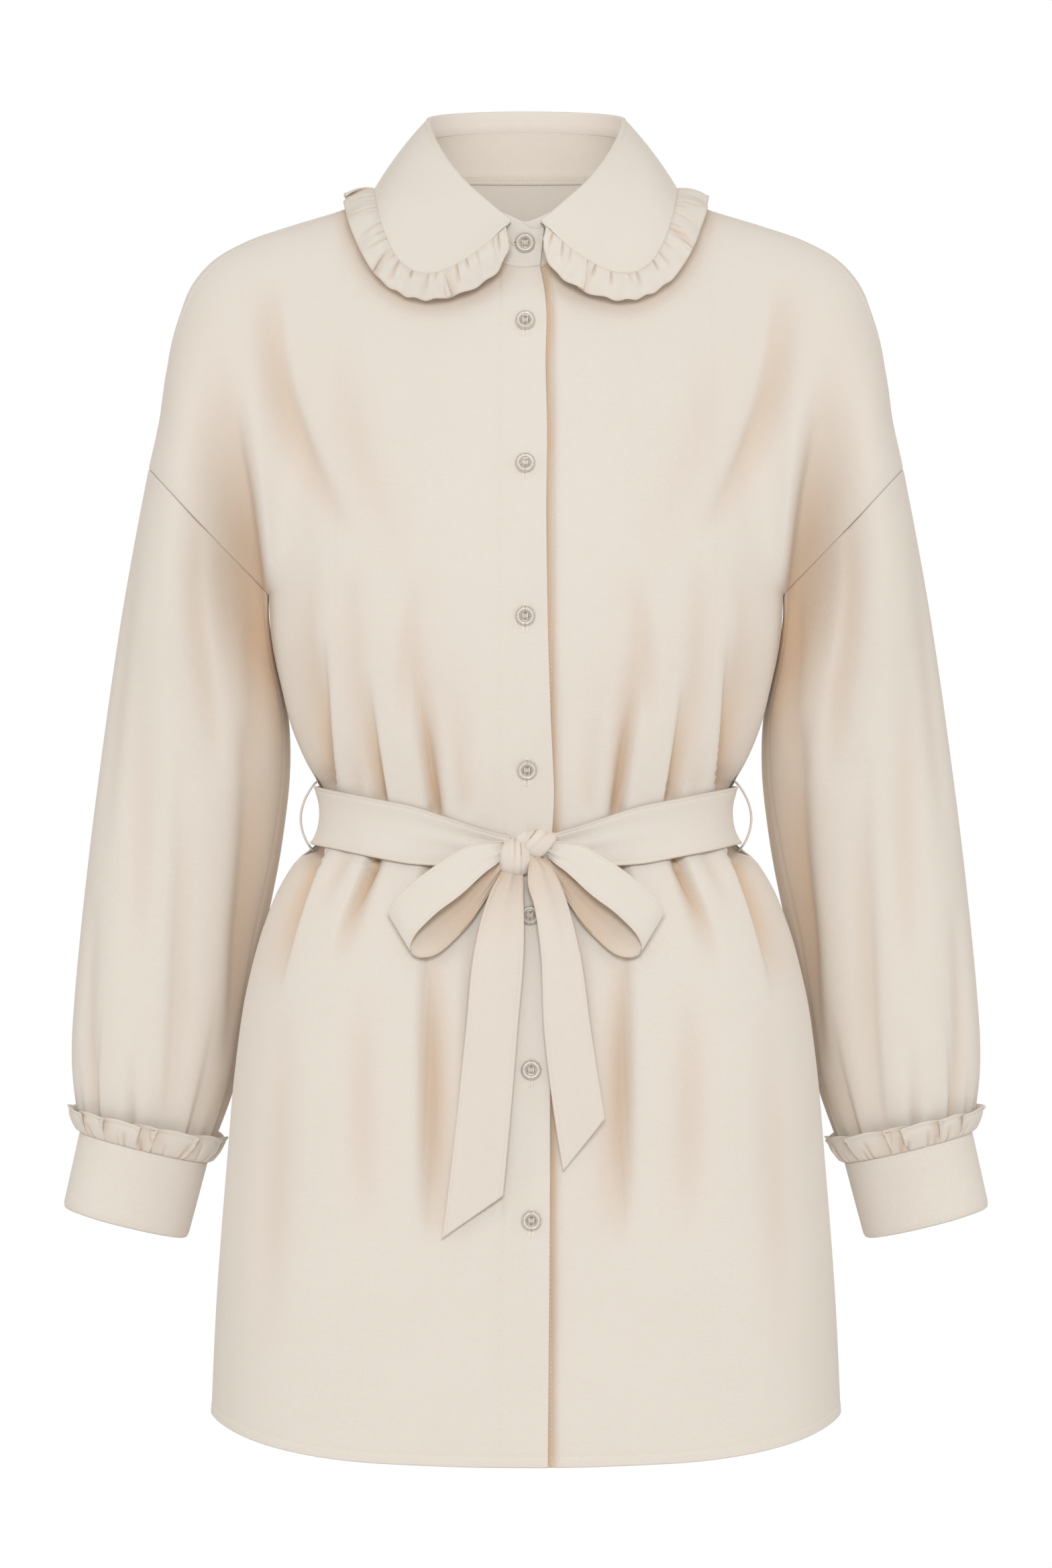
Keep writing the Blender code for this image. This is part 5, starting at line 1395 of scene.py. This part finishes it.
# ================================================================ belt loops
# A narrow strip of the same cloth at each side seam, turned in at its edges. Its two ends are sewn down above
# and below the belt, and between them it is bowed out round the belt.
LOOP_TOP = -355.5
LOOP_LONG = 42.5
LOOP_X = 124.6
LOOP_BOW = 9.2


def belt_loop(across, down, side):
    """A belt loop down the side seam, standing off the body by a power of a half sine."""
    z = LOOP_TOP - LOOP_LONG * down
    points = lower_body(np.full_like(z, 90.0), z)
    bowed = np.sin(np.pi * np.clip(down, 0, 1))
    points[..., 0] = side * (LOOP_X + 2.4 * down + LOOP_BOW * bowed**0.75)
    points[..., 1] += (2.6 + 0.5 * bowed) * across + 1.2 * np.sin(2.0 * np.pi * down)
    return points


for hand, side in SIDES:
    v, t = lattice(np.array([-1, -0.9, -0.7, -0.3, 0.3, 0.7, 0.9, 1]), np.linspace(0, 1, 60))
    points = belt_loop(v, t, side)
    piece = shell(f"{hand}_belt_loop", points, grid_normals(points, -side), 1.2)
    dress(piece, cloth, "cloth", f"belt_loop_{hand}")

# ================================================================ buttons and buttonholes
# Eight round buttons of clear plastic with a raised rim and four holes, sewn on with thread. The buttonholes
# are overcast: the one on the stand lies across, the rest run down the placket.
BUTTON_RADIUS = 5.9
BUTTON_THICK = 2.2
BUTTON_LIFT = 0.4  # from the cloth
BELT_PULL = 3.3  # how far the belt pulls the fastening over
BODY_RADIUS = 165.0  # of the front under the fastening
HOLE_RADIUS = 0.85
HOLE_REACH = 1.35  # from the middle of a button to a hole's, both ways
BUTTON_ZS = (-88.7, -172.5, -261, -349.5, -434, -522, -608)  # down the front; one more is on the stand
STAND_BUTTON = (358.9, 0.58)  # its turn round the neck, and how far up the stand it sits
HOLE_LENGTH = 15.6
HOLE_WIDTH = 2.2
HOLE_DROP = 1.5  # the middle of a buttonhole lies this much below its button


def front_level(z):
    """The body's level at a height down the centre front."""
    high = 1 + (z - UNDERARM_Z) / (NECKLINE[3] - UNDERARM_Z)
    return np.where(z <= UNDERARM_Z, (z - HEM_FRONT_Z) / (UNDERARM_Z - HEM_FRONT_Z), high)


def button_places():
    """Back centre of each button and the direction that it faces: square to the cloth, which three points of
    it give. The belt pulls the fastening over a little, by a smooth step of the height."""
    turn, up = STAND_BUTTON
    corners = [[stand(np.array(turn + a), np.array(up + b)) for a, b in ((0, 0), (1, 0), (0, 0.1))]]
    for z in BUTTON_ZS:
        turn = np.degrees((BELT_PULL * ease((-z - 290) / 150) - 0.5) / BODY_RADIUS)
        corners.append([body(turn + a, front_level(z + b)) for a, b in ((0, 0), (0.5, 0), (0, 2.0))])
    for here, aside, above in corners:
        out = unit(np.cross(aside - here, above - here))
        yield here + out * BUTTON_LIFT, out


def placed(flat_x, flat_y, height, centre, out):
    """Points given in a button's own plane, put where it sits."""
    right = unit(np.cross([0, 0, 1.0], out))
    above = np.cross(out, right)
    return centre + flat_x[..., None] * right + flat_y[..., None] * above + height[..., None] * out


def button(name, centre, out):
    """A button in four quarters, each a grid from its hole's circle to its own outline of two radii and an
    arc. Both faces have a height by radius: a dished middle and a rounded rim."""
    t = np.linspace(0, 1, 7)
    arc = np.radians(np.linspace(0, 90, 13))
    x = np.concatenate([t[:-1] * BUTTON_RADIUS, np.cos(arc) * BUTTON_RADIUS, 0 * t[1:-1]])
    y = np.concatenate([0 * t[:-1], np.sin(arc) * BUTTON_RADIUS, (1 - t[1:-1]) * BUTTON_RADIUS])
    facing = np.arctan2(y - HOLE_REACH, x - HOLE_REACH)
    grow = np.array([0, 0.08, 0.3, 0.5, 0.64, 0.75, 0.86, 0.94, 1.0])
    hole_x, hole_y = HOLE_REACH + HOLE_RADIUS * np.cos(facing), HOLE_REACH + HOLE_RADIUS * np.sin(facing)
    gx = hole_x[:, None] + (x - hole_x)[:, None] * grow
    gy = hole_y[:, None] + (y - hole_y)[:, None] * grow
    r = np.hypot(gx, gy) / BUTTON_RADIUS
    front_face = BUTTON_THICK * (0.56 + 0.44 * bell(r - 0.76, 0.12, 0.2) - 0.34 * ease((r - 0.9) / 0.1))
    back_face = BUTTON_THICK * 0.22 * ease((r - 0.72) / 0.28)
    total = gx.size
    index = np.arange(total).reshape(gx.shape)
    wrap = np.vstack([index, index[:1]])
    face = np.stack([wrap[:-1, :-1], wrap[:-1, 1:], wrap[1:, 1:], wrap[1:, :-1]], axis=-1).reshape(-1, 4)
    hole = np.stack([wrap[:-1, 0], wrap[1:, 0], wrap[1:, 0] + total, wrap[:-1, 0] + total], axis=-1)
    rim_at = index[len(t) - 1:len(t) - 1 + len(arc), -1]
    rim = np.stack([rim_at[1:], rim_at[:-1], rim_at[:-1] + total, rim_at[1:] + total], axis=-1)
    quarter = np.concatenate([face[:, ::-1], face + total, hole[:, ::-1], rim[:, ::-1]])
    vertices, faces, flat = [], [], []
    for k in range(4):
        c, s = math.cos(math.pi / 2 * k), math.sin(math.pi / 2 * k)
        flat_x, flat_y = gx * c - gy * s, gx * s + gy * c
        for height in (front_face, back_face):
            vertices.append(placed(flat_x, flat_y, height, centre, out).reshape(-1, 3))
            flat.append(np.stack([flat_x, flat_y], axis=-1).reshape(-1, 2))
        faces.append(quarter + 2 * total * k)
    made = mesh_piece(name, np.concatenate(vertices), np.concatenate(faces), np.concatenate(flat) * MM)
    work = bmesh.new()
    work.from_mesh(made.data)
    bmesh.ops.remove_doubles(work, verts=work.verts, dist=1e-6)
    bmesh.ops.recalc_face_normals(work, faces=work.faces)
    work.to_mesh(made.data)
    work.free()
    return made


def button_material():
    """Clear plastic as it looks on cloth, its refraction painted in as rings of tone: a painted grey dish,
    painted dark shade round the holes, a painted bright ring inside the rim and a thin painted dark outline,
    each by the distance from the middle on the button's own flat map."""
    paint = Paint(bpy.data.materials.new("clear_plastic"))
    flat = paint.node("ShaderNodeUVMap", {"uv_map": "flat"})
    off = paint.node("ShaderNodeVectorMath", {"operation": "LENGTH"}, {0: flat}, output=1)
    out = off * (1000 / BUTTON_RADIUS)
    cloudy = paint.node("ShaderNodeTexNoise", {"noise_dimensions": "2D"},
                        {"Vector": flat, "Scale": 700.0, "Detail": 2.0})
    # painted refraction: dark round the holes, a bright highlight ring inside the rim and a dark outline
    rings = paint.node("ShaderNodeValToRGB", {"stops": (
        (0.0, (0.90, 0.87, 0.83, 1)), (0.15, (0.82, 0.78, 0.73, 1)), (0.25, (0.36, 0.31, 0.27, 1)),
        (0.43, (0.38, 0.33, 0.29, 1)), (0.51, (0.70, 0.66, 0.61, 1)), (0.62, (0.56, 0.52, 0.47, 1)),
        (0.68, (0.95, 0.94, 0.92, 1)), (0.75, (0.92, 0.90, 0.87, 1)), (0.80, (0.70, 0.65, 0.59, 1)),
        (0.93, (0.76, 0.71, 0.65, 1)), (1.0, (0.44, 0.40, 0.35, 1)),
    )}, {"Fac": out})
    greys = ((0.0, 0.55), (0.6, 0.58), (0.68, 0.9), (0.78, 0.6), (0.86, 0.3), (1.0, 0.8))
    fill = paint.node("ShaderNodeValToRGB", {"stops": [(at, (g, g, g, 1)) for at, g in greys]}, {"Fac": out})
    solid = paint.node("ShaderNodeBsdfPrincipled", {}, {
        "Base Color": paint.mix(cloudy * 1.6 - 0.5, rings, paint.mix(0.5, rings, (0.9, 0.88, 0.85, 1))),
        "Roughness": cloudy * 0.06 + 0.03, "IOR": 1.49, "Coat Weight": 0.6, "Coat Roughness": 0.03,
    })
    clear = paint.node("ShaderNodeBsdfTransparent", {}, {"Color": (0.97, 0.96, 0.94, 1)})
    return paint.finish(paint.node("ShaderNodeMixShader", {}, {0: fill, 1: clear, 2: solid}))


def wire_ring(points, radius):
    """Vertices and faces of a closed ring of six-sided wire through points."""
    sides = 6
    heading = unit(np.roll(points, -1, axis=0) - np.roll(points, 1, axis=0))
    first = unit(np.cross(heading, [0.3, 1.0, 0.2]))
    second = np.cross(heading, first)
    turn = np.arange(sides) / sides * 2 * np.pi
    round_out = first[:, None] * np.cos(turn)[:, None] + second[:, None] * np.sin(turn)[:, None]
    vertices = (points[:, None] + round_out * np.reshape(radius, (-1, 1, 1))).reshape(-1, 3)
    index = np.arange(len(vertices)).reshape(-1, sides)
    ahead = np.roll(index, -1, axis=0)
    faces = np.stack([index, np.roll(index, -1, axis=1), np.roll(ahead, -1, axis=1), ahead], axis=-1)
    return vertices, faces.reshape(-1, 4)


plastic = button_material()
overcast, sewn_on = [], []
for number, (centre, out) in enumerate(button_places(), start=1):
    dress(button(f"front_button_{number}", centre, out), plastic, "button", f"button_{number}")
    u = np.linspace(0, 2 * np.pi, 121)[:-1]
    long_way = HOLE_LENGTH / 2 * np.sign(np.cos(u)) * np.abs(np.cos(u)) ** 0.8
    short_way = HOLE_WIDTH / 2 * np.sign(np.sin(u)) * np.abs(np.sin(u)) ** 0.35
    flat = (long_way * 0.7 - 1.6, short_way) if number == 1 else (short_way, long_way - HOLE_DROP)
    path = placed(flat[0], flat[1], 0 * u, centre - out * 0.25, out)
    overcast.append(wire_ring(path, 0.68 + 0.07 * np.sin(u * 40)))
    for across in (-HOLE_REACH, HOLE_REACH):
        t = np.linspace(0, 2 * np.pi, 25)[:-1]
        path = placed(across + 0 * t, HOLE_REACH * np.cos(t), 0.9 + 1.05 * np.sin(t), centre, out)
        sewn_on.append(wire_ring(path, 0.28 + 0 * t))

for name, wires in (("buttonholes", overcast), ("button_thread", sewn_on)):
    starts = np.cumsum([0] + [len(v) for v, _ in wires[:-1]])
    faces = np.concatenate([f + start for (_, f), start in zip(wires, starts)])
    dress(mesh_piece(name, np.concatenate([v for v, _ in wires]), faces), thread, "cloth")

# ================================================================ light and floor
# Soft studio light from large panels: two before and behind, one above, one at each side, and a faint one in
# the neck. A plain pale floor, a thin disc far below where the wearer would stand, fades out to its rim.
FLOOR_Z = -1.42
FLOOR_RADIUS = 2.9

bpy.context.scene.view_settings.view_transform = "Standard"
sky = Paint(bpy.data.worlds.new("studio"))
ray = sky.node("ShaderNodeLightPath", output="Is Camera Ray")
seen = sky.node("ShaderNodeBackground", {}, {"Color": (1, 1, 1, 1)})
lit = sky.node("ShaderNodeBackground", {}, {"Color": (1.0, 0.91, 0.81, 1), "Strength": 0.47})
bpy.context.scene.world = sky.finish(sky.node("ShaderNodeMixShader", {}, {0: ray, 1: lit, 2: seen}), "World")


def softbox(name, place, target, width, height, watts, colour=(1, 1, 1)):
    """A rectangular light that faces a target."""
    light = bpy.data.lights.new(name, "AREA")
    light.shape = "RECTANGLE"
    light.size, light.size_y = width, height
    light.energy = watts
    light.color = colour
    made = bpy.data.objects.new(name, light)
    made.location = place
    towards = np.array(target, float) - np.array(place, float)
    made.rotation_euler = Vector(towards).to_track_quat("-Z", "Y").to_euler()
    made.visible_camera = False
    bpy.context.scene.collection.objects.link(made)


softbox("front_light", (0.0, -3.8, 0.8), (0, 0, -0.25), 1.5, 1.2, 70)
softbox("top_light", (0.0, -0.6, 2.4), (0, 0, -0.3), 2.0, 2.0, 7)
for hand, side in SIDES:
    softbox(f"{hand}_light", (3.0 * side, -0.6, 0.35), (0, 0, -0.3), 1.2, 2.0, 17.5)
softbox("neck_light", (0.0, -0.03, 0.0), (0, 0.1, 0.02), 0.07, 0.02, 0.014, (1, 0.84, 0.68))
softbox("back_light", (0.0, 3.8, 0.5), (0, 0, -0.37), 2.0, 1.6, 71)

a, r = lattice(np.linspace(0, 2 * np.pi, 97)[:-1], np.linspace(0.02, 1, 24) * FLOOR_RADIUS)
disc = np.stack([r * np.cos(a), r * np.sin(a), 0 * r + FLOOR_Z], axis=-1).reshape(-1, 3)
index = np.arange(a.size).reshape(a.shape)
ahead = np.roll(index, -1, axis=0)
quads = np.stack([index[:, :-1], index[:, 1:], ahead[:, 1:], ahead[:, :-1]], axis=-1).reshape(-1, 4)
mesh = bpy.data.meshes.new("floor")
mesh.from_pydata(disc.tolist(), [], quads.tolist() + [index[:, 0].tolist()])
floor = bpy.data.objects.new("floor", mesh)
bpy.context.scene.collection.objects.link(floor)
paint = Paint(bpy.data.materials.new("floor"))
place = paint.node("ShaderNodeTexCoord", output="Object")
level = paint.node("ShaderNodeVectorMath", {"operation": "MULTIPLY"}, {0: place, 1: (1, 1, 0)})
far = paint.node("ShaderNodeVectorMath", {"operation": "LENGTH"}, {0: level}, output=1)
fade = paint.node("ShaderNodeMapRange", {"interpolation_type": "SMOOTHSTEP"},
                  {"Value": far, "From Min": 1.2, "From Max": 2.8})
pale = paint.node("ShaderNodeBsdfPrincipled", {}, {"Base Color": (0.86, 0.85, 0.83, 1), "Roughness": 0.7})
gone = paint.node("ShaderNodeBsdfTransparent")
mesh.materials.append(paint.finish(paint.node("ShaderNodeMixShader", {}, {0: fade, 1: pale, 2: gone})))
